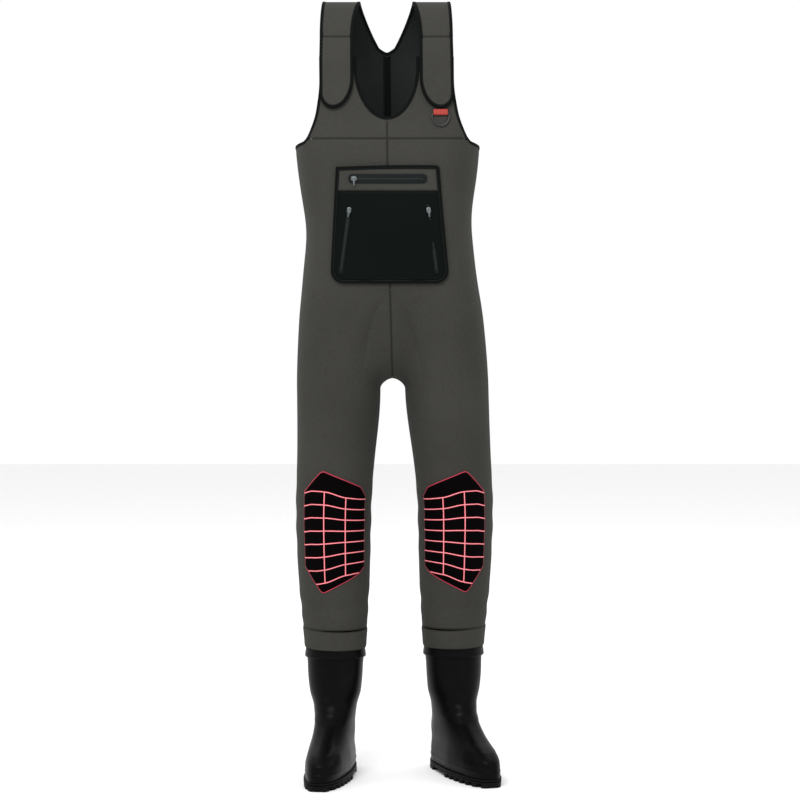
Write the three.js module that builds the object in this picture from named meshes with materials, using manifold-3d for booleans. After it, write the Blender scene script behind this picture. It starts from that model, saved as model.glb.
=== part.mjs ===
// Chest waders: a neoprene bib and legs with shoulder straps, a zipped front pocket, padded knees and
// rubber boots. Millimetres, +Z up, the front faces -Y, and the wearer's left is +X. The garment is laid
// out by heights above the soles, and the whole is then lowered so that the origin is where the straps
// rest on the shoulders.
import * as THREE from "three";
import { mergeVertices } from "three/addons/utils/BufferGeometryUtils.js";
import Module from "manifold-3d";

const wasm = await Module();
wasm.setup();

// ---------------------------------------------------------------- driving dimensions
const NEOPRENE = 4.5; // wall of the bib, straps and legs
const SEAM_GAP = 0.3; // clearance where two pieces are sewn or glued edge to edge
const LAY_GAP = 0.7; // clearance under a piece that lies on a curved wall

const INSEAM = 781; // soles to crotch
const RISE = 739; // crotch to the outer face of the straps on the shoulders
const CUFF_BOTTOM = 250;
const CUFF_HEIGHT = 40;
const KNEE_HEIGHT = 500;
const KNEE_ZONE = 100; // above and below the knee, the stretch that bends
const THIGH_BELOW_CROTCH = 21; // the leg tube proper starts here
const WAIST_ABOVE_CROTCH = 285;
const HIP_BACK_RISE = 32; // crotch to the hip line at the back

const SHOULDER_RISE = 120; // the straps' arch over the shoulder
const ARMHOLE_DEPTH = 290; // shoulder top to the floor of the armhole
const NECK_DEPTH = 237; // shoulder top to the bottom of the front neckline
const NECK_SIDE_HEIGHT = 106; // neckline bottom to where its sides run straight up
const NECK_HALF = 64;
const BACK_NECK_DEPTH = 97; // shoulder top to the point of the back neck
const CHEST_SEAM_DEPTH = 273;
const EAR_TOP_DEPTH = 115; // the front of the bib ends here, under the straps

const HIP_HALF = 190;
const SEAT_HALF = 183;
const WAIST_HALF = 164;
const CHEST_HALF = 180;
const SHOULDER_HALF = 188; // width of the form that the straps lie on
const FRONT_DEPTH = 112;
const SHOULDER_FRONT = 88;
const SHOULDER_BACK = 85;
const SEAT_DEPTH = 114;
const WAIST_BACK = 92;
const CHEST_BACK = 100;
const FLAT_SHARE = 0.6; // middle share of the front and back that is flat
const ROUNDNESS = 2.2; // exponent of the rounded sides
const LEAN_LEGS = 16; // the legs stand this far to the wearer's left of the shoulders
const LEAN_HIPS = 12;

const BINDING_WIDTH = 6;
const BINDING_PROUD = 0.8; // how far a binding stands off both faces of the wall

const STRAP_WIDTH = 65;
const STRAP_CENTRE = 96.5; // from the middle of the body
const STRAP_SEAM_RISE = 45; // above the foot of the shoulder arch
const STRAP_SEAM_GAP = 1;
const STRAP_DROP = 96; // strap end below the foot of the shoulder arch
const STRAP_TIP_OUTER = 24; // length of the rounded end at the strap's outer edge
const STRAP_TIP_INNER = 56; // and at its inner edge
const STRAP_TIP_OUTWARD = 8; // the tip lies this far outward of the strap's middle
const SHOULDER_OUTER = 119; // the panel's outer edge on top of the shoulder
const SHOULDER_INNER = 57;
const BACK_NECK_CORNER = 14; // half width of the back neck's level bottom
const PAD_THICKNESS = 1.2; // each half of the hook-and-loop fastening
const PAD_MARGIN = 14;
const PAD_LENGTH = 46;
const PAD_FOOT = -64; // the pads' lower end, below the foot of the shoulder arch

const POCKET_BELOW_SEAM = 54;
const POCKET_HEIGHT = 225;
const POCKET_PANEL = 47; // height of the upper panel, bindings included
const POCKET_TOP_HALF = 99;
const POCKET_BOTTOM_HALF = 115;
const POCKET_CORNER = 26;
const POCKET_THICKNESS = 4;
const LINING = 1.2;
const HIP_TO_POCKET = 12; // hip line below the pocket

const ZIP_TAPE = 1; // thickness
const TOP_ZIP_LENGTH = 152;
const TOP_ZIP_WIDTH = 18;
const TOP_ZIP_DROP = 24; // below the pocket's top edge
const SIDE_ZIP_LENGTH = 134;
const SIDE_ZIP_WIDTH = 8;
const SIDE_ZIP_DROP = 73;
const SIDE_ZIP_TOP = 75; // from the middle of the body
const SIDE_ZIP_FOOT = 93;
const SLIDER_LENGTH = 11;
const SLIDER_WIDTH = 8;
const SLIDER_HEIGHT = 3.4;
const PULLER_LENGTH = 17;
const PULLER_WIDTH = 5;
const PULLER_THICKNESS = 1.6;

const RING_WIDTH = 36;
const RING_HEIGHT = 27;
const RING_WIRE = 2.8;
const TAB_WIDTH = 28;
const TAB_RISE = 5; // the webbing loop reaches this far above the ring's bar
const WEBBING = 1.8;
const TAB_BELOW_STRAP = 9.5;
const TAB_OUTWARD = 7; // from the strap's middle

const PANEL_COLUMNS = 6; // each quarter of the body is divided alike above and below the hip line
const SEAM_COLUMNS = 8; // divisions of the seam between the legs
const LEG_SIDES = 2 * PANEL_COLUMNS + SEAM_COLUMNS;
const LEG_STANCE = 18; // one foot stands this far ahead and the other this far behind
const CUFF_PROUD = 1.6;
const KNEE_PAD_TOP = 100; // above the knee's middle
const KNEE_PAD_BOTTOM = 134;
const KNEE_PAD_THICKNESS = 5;
const KNEE_PAD_OUTER = 48; // degrees round the leg from straight ahead
const KNEE_PAD_INNER = 55;

const BOOT_WALL = 3.5;
const BOOT_SIDES = 20;
const BOOT_LENGTH_FRONT = 207; // ankle to toe
const BOOT_LENGTH_BACK = 73; // ankle to heel
const BALL_HALF = 44;
const TOE_SQUARE = 2.5; // exponent of the outline ahead of the ankle: 2 is an ellipse
const HEEL_SQUARE = 2.3;
const SHAFT_TOP = 275; // inside the cuff
const SHAFT_HALF = 54;
const ANKLE_HALF = 37.5;
const SHAFT_DEPTH = 57;
const COLLAR_HEIGHT = 18;
const COLLAR_THICKNESS = 4;
const ANKLE_TOP = 150;
const ANKLE_BOTTOM = 85;
const BOOT_YAW = { left: 20, right: 8 }; // degrees, toes outward
const SOLE_THICKNESS = 16;
const CLEAT_DEPTH = 8;
const CLEAT_COUNT = 7;
const CLEAT_LENGTH = 11;
const HEEL_LENGTH = 72;
const FOREFOOT_LENGTH = 150;
const SOLE_PROUD = 3;
const INSOLE_THICKNESS = 4;

const TOP = INSEAM + RISE;
const SPRING = TOP - SHOULDER_RISE;
const ARMHOLE_FLOOR = TOP - ARMHOLE_DEPTH;
const CHEST_SEAM = TOP - CHEST_SEAM_DEPTH;
const NECK_BOTTOM = TOP - NECK_DEPTH;
const EAR_TOP = TOP - EAR_TOP_DEPTH;
const BACK_NECK = TOP - BACK_NECK_DEPTH;
const WAIST = INSEAM + WAIST_ABOVE_CROTCH;
const POCKET_TOP = CHEST_SEAM - POCKET_BELOW_SEAM;
const POCKET_BOTTOM = POCKET_TOP - POCKET_HEIGHT;
const HIP_FRONT = POCKET_BOTTOM - HIP_TO_POCKET;
const HIP_BACK = INSEAM + HIP_BACK_RISE;
const THIGH_TOP = INSEAM - THIGH_BELOW_CROTCH;
const CUFF_TOP = CUFF_BOTTOM + CUFF_HEIGHT;
const STRAP_LIFT = 3 * SEAM_GAP + 2 * PAD_THICKNESS; // strap above the bib

const COLOURS = {
  neoprene: ["#44443f", 0.9, 0],
  binding: ["#0e1410", 0.8, 0],
  lining: ["#191b1a", 0.95, 0],
  pocket: ["#0d1210", 0.85, 0],
  kneepad: ["#0b0808", 0.8, 0],
  webbing: ["#c74c44", 0.8, 0],
  zip: ["#141f1e", 0.5, 0],
  metal: ["#3b3f42", 0.4, 0.9],
  rubber: ["#161818", 0.35, 0],
  sole: ["#121313", 0.6, 0],
};

const SIDES = { left: 1, right: -1 };
const waders = new THREE.Group();
waders.position.z = -(TOP - NEOPRENE);

// ---------------------------------------------------------------- helpers
const V = (x, y, z) => new THREE.Vector3(x, y, z);
const radians = THREE.MathUtils.degToRad;
const lerp = THREE.MathUtils.lerp;
const smooth = (t) => THREE.MathUtils.smoothstep(t, 0, 1);
const steps = (n) => Array.from({ length: n + 1 }, (_, i) => i / n);

/** A smooth curve through [place, value] pairs that never overshoots them. */
function through(pairs) {
  const slopes = pairs.map(([place, value], i) => {
    if (i === 0 || i === pairs.length - 1) return 0;
    const before = (value - pairs[i - 1][1]) / (place - pairs[i - 1][0]);
    const after = (pairs[i + 1][1] - value) / (pairs[i + 1][0] - place);
    return before * after <= 0 ? 0 : (2 * before * after) / (before + after);
  });
  return (place) => {
    const last = pairs.length - 1;
    if (place <= pairs[0][0]) return pairs[0][1];
    if (place >= pairs[last][0]) return pairs[last][1];
    const i = pairs.findIndex((pair) => place < pair[0]) - 1;
    const span = pairs[i + 1][0] - pairs[i][0];
    const t = (place - pairs[i][0]) / span;
    const start = pairs[i][1];
    const rise = pairs[i + 1][1] - start;
    const cubic = t * t * (3 - 2 * t);
    return (
      start +
      rise * cubic +
      span * slopes[i] * t * (1 - t) * (1 - t) -
      span * slopes[i + 1] * t * t * (1 - t)
    );
  };
}

/** Turns points and quads or triangles into a geometry whose faces point out. */
function geometryOf(points, faces) {
  const index = [];
  for (const face of faces) {
    for (let i = 1; i < face.length - 1; i++) index.push(face[0], face[i], face[i + 1]);
  }
  let volume = 0;
  for (let i = 0; i < index.length; i += 3) {
    const [a, b, c] = [points[index[i]], points[index[i + 1]], points[index[i + 2]]];
    volume += a.dot(b.clone().cross(c));
  }
  if (volume < 0) index.reverse();
  const geometry = new THREE.BufferGeometry().setFromPoints(points);
  geometry.setIndex(index);
  return geometry;
}

/** A wall between two grids of points: open sheets, or loops when `around`; `cup` closes the first loop. */
function wall(outer, inner, { around = false, cup = false } = {}) {
  const rows = outer.length;
  const columns = outer[0].length;
  const points = [...outer.flat(), ...inner.flat()];
  const O = (j, i) => j * columns + (i % columns);
  const I = (j, i) => rows * columns + O(j, i);
  const faces = [];
  const spans = around ? columns : columns - 1;
  const end = rows - 1;
  for (let i = 0; i < spans; i++) {
    for (let j = 0; j < end; j++) {
      faces.push([O(j, i), O(j, i + 1), O(j + 1, i + 1), O(j + 1, i)]);
      faces.push([I(j, i), I(j + 1, i), I(j + 1, i + 1), I(j, i + 1)]);
    }
    faces.push([O(end, i), O(end, i + 1), I(end, i + 1), I(end, i)]);
    if (!cup) faces.push([O(0, i + 1), O(0, i), I(0, i), I(0, i + 1)]);
  }
  if (!around) {
    for (let j = 0; j < end; j++) {
      faces.push([O(j, 0), O(j + 1, 0), I(j + 1, 0), I(j, 0)]);
      faces.push([O(j + 1, spans), O(j, spans), I(j, spans), I(j + 1, spans)]);
    }
  }
  if (cup) {
    const outerCentre = points.push(middle(outer[0])) - 1;
    const innerCentre = points.push(middle(inner[0])) - 1;
    for (let i = 0; i < spans; i++) {
      faces.push([outerCentre, O(0, i + 1), O(0, i)]);
      faces.push([innerCentre, I(0, i), I(0, i + 1)]);
    }
  }
  return geometryOf(points, faces);
}

/** A solid through a stack of loops, closed flat at both ends. */
function stack(loops) {
  const columns = loops[0].length;
  const points = loops.flat();
  const at = (j, i) => j * columns + (i % columns);
  const faces = [];
  const end = loops.length - 1;
  const first = points.push(middle(loops[0])) - 1;
  const last = points.push(middle(loops[end])) - 1;
  for (let i = 0; i < columns; i++) {
    for (let j = 0; j < end; j++) faces.push([at(j, i), at(j, i + 1), at(j + 1, i + 1), at(j + 1, i)]);
    faces.push([first, at(0, i + 1), at(0, i)]);
    faces.push([last, at(end, i), at(end, i + 1)]);
  }
  return geometryOf(points, faces);
}

/** The middle of a loop of points. */
function middle(loop) {
  const sum = loop.reduce((total, point) => total.add(point), V(0, 0, 0));
  return sum.divideScalar(loop.length);
}

/** Adds a named mesh with a material of its own, and gives it back. */
function add(name, geometry, finish, parent = waders) {
  const [color, roughness, metalness] = COLOURS[finish];
  const mesh = new THREE.Mesh(geometry, new THREE.MeshStandardMaterial({ color, roughness, metalness }));
  mesh.name = name;
  parent.add(mesh);
  return mesh;
}

/** One solid from several closed geometries that overlap. */
function joined(geometries) {
  const solids = geometries.map((geometry) => {
    const bare = new THREE.BufferGeometry();
    bare.setAttribute("position", geometry.getAttribute("position"));
    if (geometry.index) bare.setIndex(geometry.index);
    const merged = mergeVertices(bare, 1e-3);
    const vertProperties = merged.attributes.position.array;
    const triVerts = new Uint32Array(merged.index.array);
    return new wasm.Manifold(new wasm.Mesh({ numProp: 3, vertProperties, triVerts }));
  });
  const { vertProperties, triVerts } = solids.reduce((sum, solid) => sum.add(solid)).getMesh();
  const geometry = new THREE.BufferGeometry();
  geometry.setAttribute("position", new THREE.BufferAttribute(vertProperties, 3));
  geometry.setIndex(new THREE.BufferAttribute(triVerts, 1));
  return geometry;
}

// ---------------------------------------------------------------- the form that the bib lies on
const bodyHalf = through([
  [INSEAM, HIP_HALF],
  [INSEAM + 99, SEAT_HALF],
  [WAIST, WAIST_HALF],
  [ARMHOLE_FLOOR, CHEST_HALF],
  [SPRING, SHOULDER_HALF],
]);
const bodyFront = through([
  [THIGH_TOP, 94],
  [lerp(THIGH_TOP, POCKET_BOTTOM, 0.5), 104],
  [POCKET_BOTTOM, FRONT_DEPTH],
  [POCKET_TOP, FRONT_DEPTH],
  [SPRING, SHOULDER_FRONT],
]);
const bodyBack = through([
  [THIGH_TOP, 92],
  [lerp(HIP_BACK, WAIST, 0.25), SEAT_DEPTH],
  [WAIST, WAIST_BACK],
  [ARMHOLE_FLOOR, CHEST_BACK],
  [SPRING, SHOULDER_BACK],
]);
const centreLine = through([
  [KNEE_HEIGHT, LEAN_LEGS],
  [INSEAM, LEAN_HIPS],
  [WAIST, 5],
  [CHEST_SEAM, 2],
  [TOP, 0],
]);

const ARCH = Math.PI * Math.hypot(SHOULDER_RISE, SHOULDER_FRONT) * Math.SQRT1_2; // over the shoulder

/** Share of the full depth at a share of the half width: flat in the middle, rounded at the sides. */
function section(share) {
  const past = Math.max(0, (Math.min(1, Math.abs(share)) - FLAT_SHARE) / (1 - FLAT_SHARE));
  return Math.pow(1 - Math.pow(past, ROUNDNESS), 1 / ROUNDNESS);
}

// A place on the form is an angle round the body from its middle (90 degrees at the side) and a run:
// the run is below 0 up the front, 0 to ARCH over the shoulder, and above ARCH down the back.
const frontRun = (height) => height - SPRING;
const backRun = (height) => ARCH + SPRING - height;
const archRun = (riseAbove) => (Math.asin(riseAbove / SHOULDER_RISE) / Math.PI) * ARCH;

function heightAt(run) {
  if (run < 0) return SPRING + run;
  if (run > ARCH) return SPRING - (run - ARCH);
  return SPRING + SHOULDER_RISE * Math.sin((Math.PI * run) / ARCH);
}

function depthAt(run) {
  if (run < 0) return -bodyFront(SPRING + run);
  if (run > ARCH) return bodyBack(SPRING - (run - ARCH));
  const level = Math.cos((Math.PI * run) / ARCH);
  return level > 0 ? -SHOULDER_FRONT * level : -SHOULDER_BACK * level;
}

function formPoint(angle, run) {
  const height = heightAt(run);
  const x = centreLine(height) + bodyHalf(height) * Math.sin(angle);
  return V(x, depthAt(run) * section(Math.sin(angle)) * Math.sign(Math.cos(angle)), height);
}

function formNormal(angle, run) {
  const across = formPoint(angle + 0.01, run).sub(formPoint(angle - 0.01, run));
  const along = formPoint(angle, run + 0.5).sub(formPoint(angle, run - 0.5));
  return across.cross(along).normalize();
}

/** A point on the form, `x` from the body's middle, moved `lift` out of it. */
function onForm(x, run, lift = 0) {
  const angle = Math.asin(THREE.MathUtils.clamp(x / bodyHalf(heightAt(run)), -1, 1));
  return formPoint(angle, run).addScaledVector(formNormal(angle, run), lift);
}

/** A piece of cloth on the form: rows of { run, from, to } with x limits, and its two faces' lifts. */
function cloth(rows, columns, low, high) {
  const grid = (lift) =>
    rows.map(({ run, from, to }) => {
      const half = bodyHalf(heightAt(run));
      const [start, stop] = [from, to].map((x) => Math.asin(THREE.MathUtils.clamp(x / half, -1, 1)));
      const level = typeof lift === "function" ? lift(run) : lift;
      return steps(columns).map((t) => {
        const angle = lerp(start, stop, t);
        return formPoint(angle, run).addScaledVector(formNormal(angle, run), level);
      });
    });
  return wall(grid(high), grid(low));
}

/** A strip beside a sewn edge: `edge` is a list of [x, run]; `reach` is its near and far distance. */
function edging(edge, reach, low, high) {
  const spine = edge.map(([x, run]) => onForm(x, run));
  const lifts = (lift, run) => (typeof lift === "function" ? lift(run) : lift);
  const grid = (level) =>
    spine.map((point, i) => {
      const [x, run] = edge[i];
      const half = bodyHalf(heightAt(run));
      const normal = formNormal(Math.asin(THREE.MathUtils.clamp(x / half, -1, 1)), run);
      const ahead = spine[Math.min(i + 1, spine.length - 1)];
      const behind = spine[Math.max(i - 1, 0)];
      const out = ahead.clone().sub(behind).cross(normal).normalize();
      return reach.map((away) =>
        point.clone().addScaledVector(out, away).addScaledVector(normal, lifts(level, run)),
      );
    });
  return wall(grid(high), grid(low));
}

// ---------------------------------------------------------------- outlines of the bib
const EDGE = BINDING_WIDTH + SEAM_GAP; // a bound edge is drawn this far inside the finished outline
const armholeX = through([
  [ARMHOLE_FLOOR, CHEST_HALF],
  [ARMHOLE_FLOOR + 8, 160],
  [ARMHOLE_FLOOR + 24, 148],
  [ARMHOLE_FLOOR + 71, 131],
  [ARMHOLE_FLOOR + 130, 124],
  [SPRING, 124],
]);
const SHOULDER_TOP_RUN = ARCH / 2;
const SEAM_RUN = archRun(STRAP_SEAM_RISE);
const BACK_NECK_RUN = ARCH - archRun(BACK_NECK - SPRING);
const strapHalf = STRAP_WIDTH / 2 - EDGE;
/** Share of the way from the top of the shoulder down the front to the strap's seam. */
const downFront = (run) => smooth((SHOULDER_TOP_RUN - run) / (SHOULDER_TOP_RUN - SEAM_RUN));
const strapInnerX = (run) => lerp(SHOULDER_INNER, STRAP_CENTRE - strapHalf, downFront(run));

function strapOuterX(run) {
  if (run < SHOULDER_TOP_RUN) return lerp(SHOULDER_OUTER, STRAP_CENTRE + strapHalf, downFront(run));
  return lerp(SHOULDER_OUTER, armholeX(SPRING), smooth(run / SHOULDER_TOP_RUN - 1));
}

/** Height of the hip line at a share of the depth: -1 at the back, 1 at the front. */
const hipHeight = (forward) => lerp(HIP_BACK, HIP_FRONT, (1 + forward) / 2);

/** Shares of the way from the back neck to the top of the shoulder where its edge has a corner. */
const NECK_RISES = [0, 0.02, 0.07, 0.16, 0.32, 0.55, 0.8, 1];
const NECK_CORNER_STEP = 2;

/** Inner edge of the back and its straps, from the middle of the body. */
function backInnerX(run) {
  if (run >= BACK_NECK_RUN) return SEAM_GAP / 2;
  const up = (BACK_NECK_RUN - run) / (BACK_NECK_RUN - SHOULDER_TOP_RUN);
  if (up >= 1) return strapInnerX(run);
  const corner = Math.sqrt(Math.min(1, up / NECK_RISES[NECK_CORNER_STEP]));
  const flare = (SHOULDER_INNER - BACK_NECK_CORNER) * (1 - Math.pow(1 - up, 2.2));
  return SEAM_GAP / 2 + BACK_NECK_CORNER * corner + flare;
}

/** Outer edge of the back: the side seam, then the armhole, then the strap. */
function backOuterX(run) {
  if (run > ARCH) {
    const height = heightAt(run);
    return height <= ARMHOLE_FLOOR ? bodyHalf(height) : armholeX(height);
  }
  return strapOuterX(run);
}

/** The neckline as a quarter of an ellipse: height and half width at a share of its sweep. */
function neckline(t) {
  const sweep = (t * Math.PI) / 2;
  return [NECK_HALF * Math.sin(sweep), NECK_BOTTOM + NECK_SIDE_HEIGHT * (1 - Math.cos(sweep))];
}

// ---------------------------------------------------------------- bib
/** Rows of a lower panel, from the slanting hip line up to the level rows above. */
function lowerPanel(sign, front, upper) {
  const level = front ? POCKET_BOTTOM + 40 : WAIST;
  const runOf = front ? frontRun : backRun;
  const grid = (lift) => {
    const rows = [];
    for (const t of steps(3)) {
      rows.push(
        steps(PANEL_COLUMNS).map((c) => {
          const angle = sign * lerp(sideStart(level), Math.PI / 2 - sideGap(level), c);
          const forward = section(Math.sin(angle)) * (front ? 1 : -1);
          const run = runOf(lerp(hipHeight(forward) + SEAM_GAP, level, t));
          return formPoint(angle, run).addScaledVector(formNormal(angle, run), lift);
        }),
      );
    }
    for (const { run, from, to } of upper) {
      const half = bodyHalf(heightAt(run));
      const start = Math.asin(Math.min(1, from / half));
      const stop = Math.min(Math.asin(Math.min(1, to / half)), Math.PI / 2 - sideGap(heightAt(run)));
      rows.push(
        steps(PANEL_COLUMNS).map((c) => {
          const angle = sign * lerp(start, stop, c);
          return formPoint(angle, run).addScaledVector(formNormal(angle, run), lift);
        }),
      );
    }
    return rows;
  };
  return wall(grid(0), grid(-NEOPRENE));
}

/** Angle of half a seam gap at the body's middle. */
const sideStart = (height) => SEAM_GAP / 2 / bodyHalf(height);
/** Angle that leaves half a seam gap at the side seam. */
const sideGap = (height) => SEAM_GAP / bodyFront(height);

// The armhole's edge passes through these heights on the front and on the back.
const floorHeights = [0, 4, 9].map((rise) => ARMHOLE_FLOOR + rise);
const NECK_STEPS = 6;
const neckHeights = steps(NECK_STEPS).map((t) => neckline(t)[1]);
const armholeHeights = [...floorHeights, CHEST_SEAM, lerp(CHEST_SEAM, NECK_BOTTOM, 0.5), ...neckHeights];
const upNeck = NECK_RISES.map((t) => lerp(BACK_NECK_RUN, SHOULDER_TOP_RUN, t));
const downStrap = steps(4).slice(1).map((t) => lerp(SHOULDER_TOP_RUN, SEAM_RUN + STRAP_SEAM_GAP, t));
const overShoulder = [ARCH, ...upNeck, ...downStrap];

for (const [side, sign] of Object.entries(SIDES)) {
  const seamRow = { run: frontRun(CHEST_SEAM - SEAM_GAP), from: SEAM_GAP / 2, to: armholeX(CHEST_SEAM) };
  const front = [lerp(WAIST, ARMHOLE_FLOOR, 0.5), ...floorHeights].map((height) => ({
    run: frontRun(height),
    from: SEAM_GAP / 2,
    to: height < ARMHOLE_FLOOR ? bodyHalf(height) : armholeX(height),
  }));
  add("front_panel_" + side, lowerPanel(sign, true, [...front, seamRow]), "neoprene");

  const yokeRow = (height, from) => ({
    run: frontRun(height),
    from: sign * (from + SEAM_GAP / 2),
    to: sign * armholeX(height),
  });
  const yoke = [yokeRow(CHEST_SEAM, 0), yokeRow(lerp(CHEST_SEAM, NECK_BOTTOM, 0.5), 0)];
  for (const t of steps(NECK_STEPS)) {
    const [x, height] = neckline(t);
    yoke.push(yokeRow(height, x));
  }
  yoke.push(yokeRow(EAR_TOP, NECK_HALF));
  add("yoke_" + side, cloth(yoke, 4, -NEOPRENE, 0), "neoprene");

  const runs = [lerp(WAIST, ARMHOLE_FLOOR, 0.5), ...armholeHeights].map(backRun);
  const back = [...runs, ...overShoulder].map((run) => ({ run, from: backInnerX(run), to: backOuterX(run) }));
  add("back_panel_" + side, lowerPanel(sign, false, back), "neoprene");

  // The armhole binding runs from the front of the bib, under the arm, up the back and over the shoulder.
  const descent = [EAR_TOP, ...armholeHeights.toReversed()].map((height) => [armholeX(height), frontRun(height)]);
  const climb = armholeHeights.slice(1).map((height) => [armholeX(height), backRun(height)]);
  const crossing = overShoulder.map((run) => [backOuterX(run), run]);
  const armhole = [...descent, ...climb, ...crossing].map(([x, run]) => [sign * x, run]);
  const reach = [-sign * SEAM_GAP, -sign * EDGE];
  const strip = edging(armhole, reach, -NEOPRENE - BINDING_PROUD, BINDING_PROUD);
  add("armhole_binding_" + side, strip, "binding");
}

// The neckline binding runs down one side of the front opening and up the other.
const necklineEdge = [[NECK_HALF, frontRun(EAR_TOP)]];
for (const t of steps(NECK_STEPS).reverse()) {
  const [x, height] = neckline(t);
  necklineEdge.push([x, frontRun(height)]);
}
const otherSide = necklineEdge.slice(0, -1).reverse();
necklineEdge.push(...otherSide.map(([x, run]) => [-x, run]));
add("neckline_binding", edging(necklineEdge, [SEAM_GAP, EDGE], -NEOPRENE - BINDING_PROUD, BINDING_PROUD), "binding");

const backNeckSide = [...upNeck, ...downStrap].reverse().map((run) => [backInnerX(run), run]);
const backNeckEdge = [...backNeckSide, ...backNeckSide.slice(0, -1).reverse().map(([x, run]) => [-x, run])];
const backNeck = edging(backNeckEdge, [-SEAM_GAP, -EDGE], -NEOPRENE - BINDING_PROUD, BINDING_PROUD);
add("back_neck_binding", backNeck, "binding");

// A tape covers the centre back seam on the inside, from the back neck to the waist.
const TAPE_HALF = 7;
const tapeRuns = [WAIST, lerp(WAIST, ARMHOLE_FLOOR, 0.5), ...armholeHeights].map(backRun);
const tape = [...tapeRuns, ARCH].map((run) => ({ run, from: -TAPE_HALF, to: TAPE_HALF }));
const tapeFace = -NEOPRENE - LAY_GAP;
add("back_seam_tape", cloth(tape, 2, tapeFace - LINING, tapeFace), "binding");

// ---------------------------------------------------------------- shoulder straps
/** How far a strap stands off the form: level at its seam, clear of the fastening below it. */
const strapLift = (run) => (STRAP_LIFT + NEOPRENE) * smooth((SEAM_RUN - run) / (SEAM_RUN + SPRING - EAR_TOP + 14)) - NEOPRENE;
const strapTop = (run) => strapLift(run) + NEOPRENE;
const STRAP_END = -STRAP_DROP + EDGE;

/** One edge of a strap, from its seam to the tip: distances from the strap's middle, with their runs. */
function strapEdge(sideways, tipLength) {
  const tip = STRAP_TIP_OUTWARD;
  const straight = steps(4).map((t) => [sideways * strapHalf, lerp(SEAM_RUN, STRAP_END + STRAP_TIP_INNER, t)]);
  const rounded = steps(8).slice(1).map((t) => {
    const sweep = (t * Math.PI) / 2.1;
    const run = STRAP_END + STRAP_TIP_INNER * (1 - Math.sin(sweep));
    const past = Math.max(0, (STRAP_END + tipLength - run) / tipLength);
    return [tip + (sideways * strapHalf - tip) * Math.sqrt(1 - past * past), run];
  });
  return [...straight, ...rounded];
}

for (const [side, sign] of Object.entries(SIDES)) {
  const centre = sign * STRAP_CENTRE;
  const place = ([x, run]) => [centre + sign * x, run];
  const outer = strapEdge(1, STRAP_TIP_OUTER).map(place);
  const inner = strapEdge(-1, STRAP_TIP_INNER).map(place);
  const rows = outer.map(([x, run], i) => ({ run, from: inner[i][0], to: x }));
  add("strap_" + side, cloth(rows, 4, strapLift, strapTop), "neoprene");

  const round = [...outer, ...inner.toReversed()];
  const reach = [-sign * SEAM_GAP, -sign * EDGE];
  add("strap_binding_" + side, edging(round, reach, strapLift, strapTop), "binding");

  const padHalf = STRAP_WIDTH / 2 - PAD_MARGIN;
  const pad = steps(4).map((t) => ({
    run: lerp(PAD_FOOT, PAD_FOOT + PAD_LENGTH, t),
    from: centre - padHalf,
    to: centre + padHalf,
  }));
  add("loop_pad_" + side, cloth(pad, 4, SEAM_GAP, SEAM_GAP + PAD_THICKNESS), "binding");
  const hookLift = 2 * SEAM_GAP + PAD_THICKNESS;
  add("hook_pad_" + side, cloth(pad, 4, hookLift, hookLift + PAD_THICKNESS), "binding");
}

// ---------------------------------------------------------------- front pocket
const POCKET_LIFT = LAY_GAP + LINING + SEAM_GAP;
const pocketHalf = (height) => lerp(POCKET_BOTTOM_HALF, POCKET_TOP_HALF, (height - POCKET_BOTTOM) / POCKET_HEIGHT);
const pocketInner = (height) => pocketHalf(height) - EDGE;
const pocketFloor = POCKET_BOTTOM + EDGE;
const pocketCeiling = POCKET_TOP - EDGE;
const pocketSplit = POCKET_TOP - POCKET_PANEL;
const cornerRadius = POCKET_CORNER - EDGE;

/** Rows between two heights, `narrow` inside the pocket's bound edge, with round bottom corners. */
function pocketRows(bottom, top, narrow) {
  const rows = [];
  const across = (height, less) => {
    const half = pocketInner(height) - narrow - less;
    return { run: frontRun(height), from: -half, to: half };
  };
  if (bottom <= pocketFloor + cornerRadius) {
    for (const t of steps(3).slice(0, -1)) {
      const sweep = (t * Math.PI) / 2;
      rows.push(across(bottom + cornerRadius * (1 - Math.cos(sweep)), cornerRadius * (1 - Math.sin(sweep))));
    }
  }
  const start = rows.length ? bottom + cornerRadius : bottom;
  for (const t of steps(3)) rows.push(across(lerp(start, top, t), 0));
  return rows;
}

const pocketFace = POCKET_LIFT + POCKET_THICKNESS;
add("pocket_lining", cloth(pocketRows(pocketFloor, pocketCeiling, 0), 8, LAY_GAP, LAY_GAP + LINING), "lining");
add("pocket_front", cloth(pocketRows(pocketFloor, pocketSplit - SEAM_GAP, 0), 8, POCKET_LIFT, pocketFace), "pocket");
add("pocket_top_panel", cloth(pocketRows(pocketSplit, pocketCeiling, 0), 8, POCKET_LIFT, pocketFace), "neoprene");

const pocketEdge = pocketRows(pocketFloor, pocketCeiling, 0).map(({ run, to }) => [to, run]);
const pocketRound = [...pocketEdge.map(([x, run]) => [-x, run]).reverse(), ...pocketEdge];
add("pocket_binding", edging(pocketRound, [SEAM_GAP, EDGE], LAY_GAP, pocketFace + BINDING_PROUD), "binding");
const brim = steps(8).map((t) => [lerp(-1, 1, t) * (pocketHalf(POCKET_TOP) - BINDING_WIDTH - 1), frontRun(pocketCeiling)]);
add("pocket_top_binding", edging(brim, [-SEAM_GAP, -EDGE], LAY_GAP, pocketFace + BINDING_PROUD), "binding");

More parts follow.
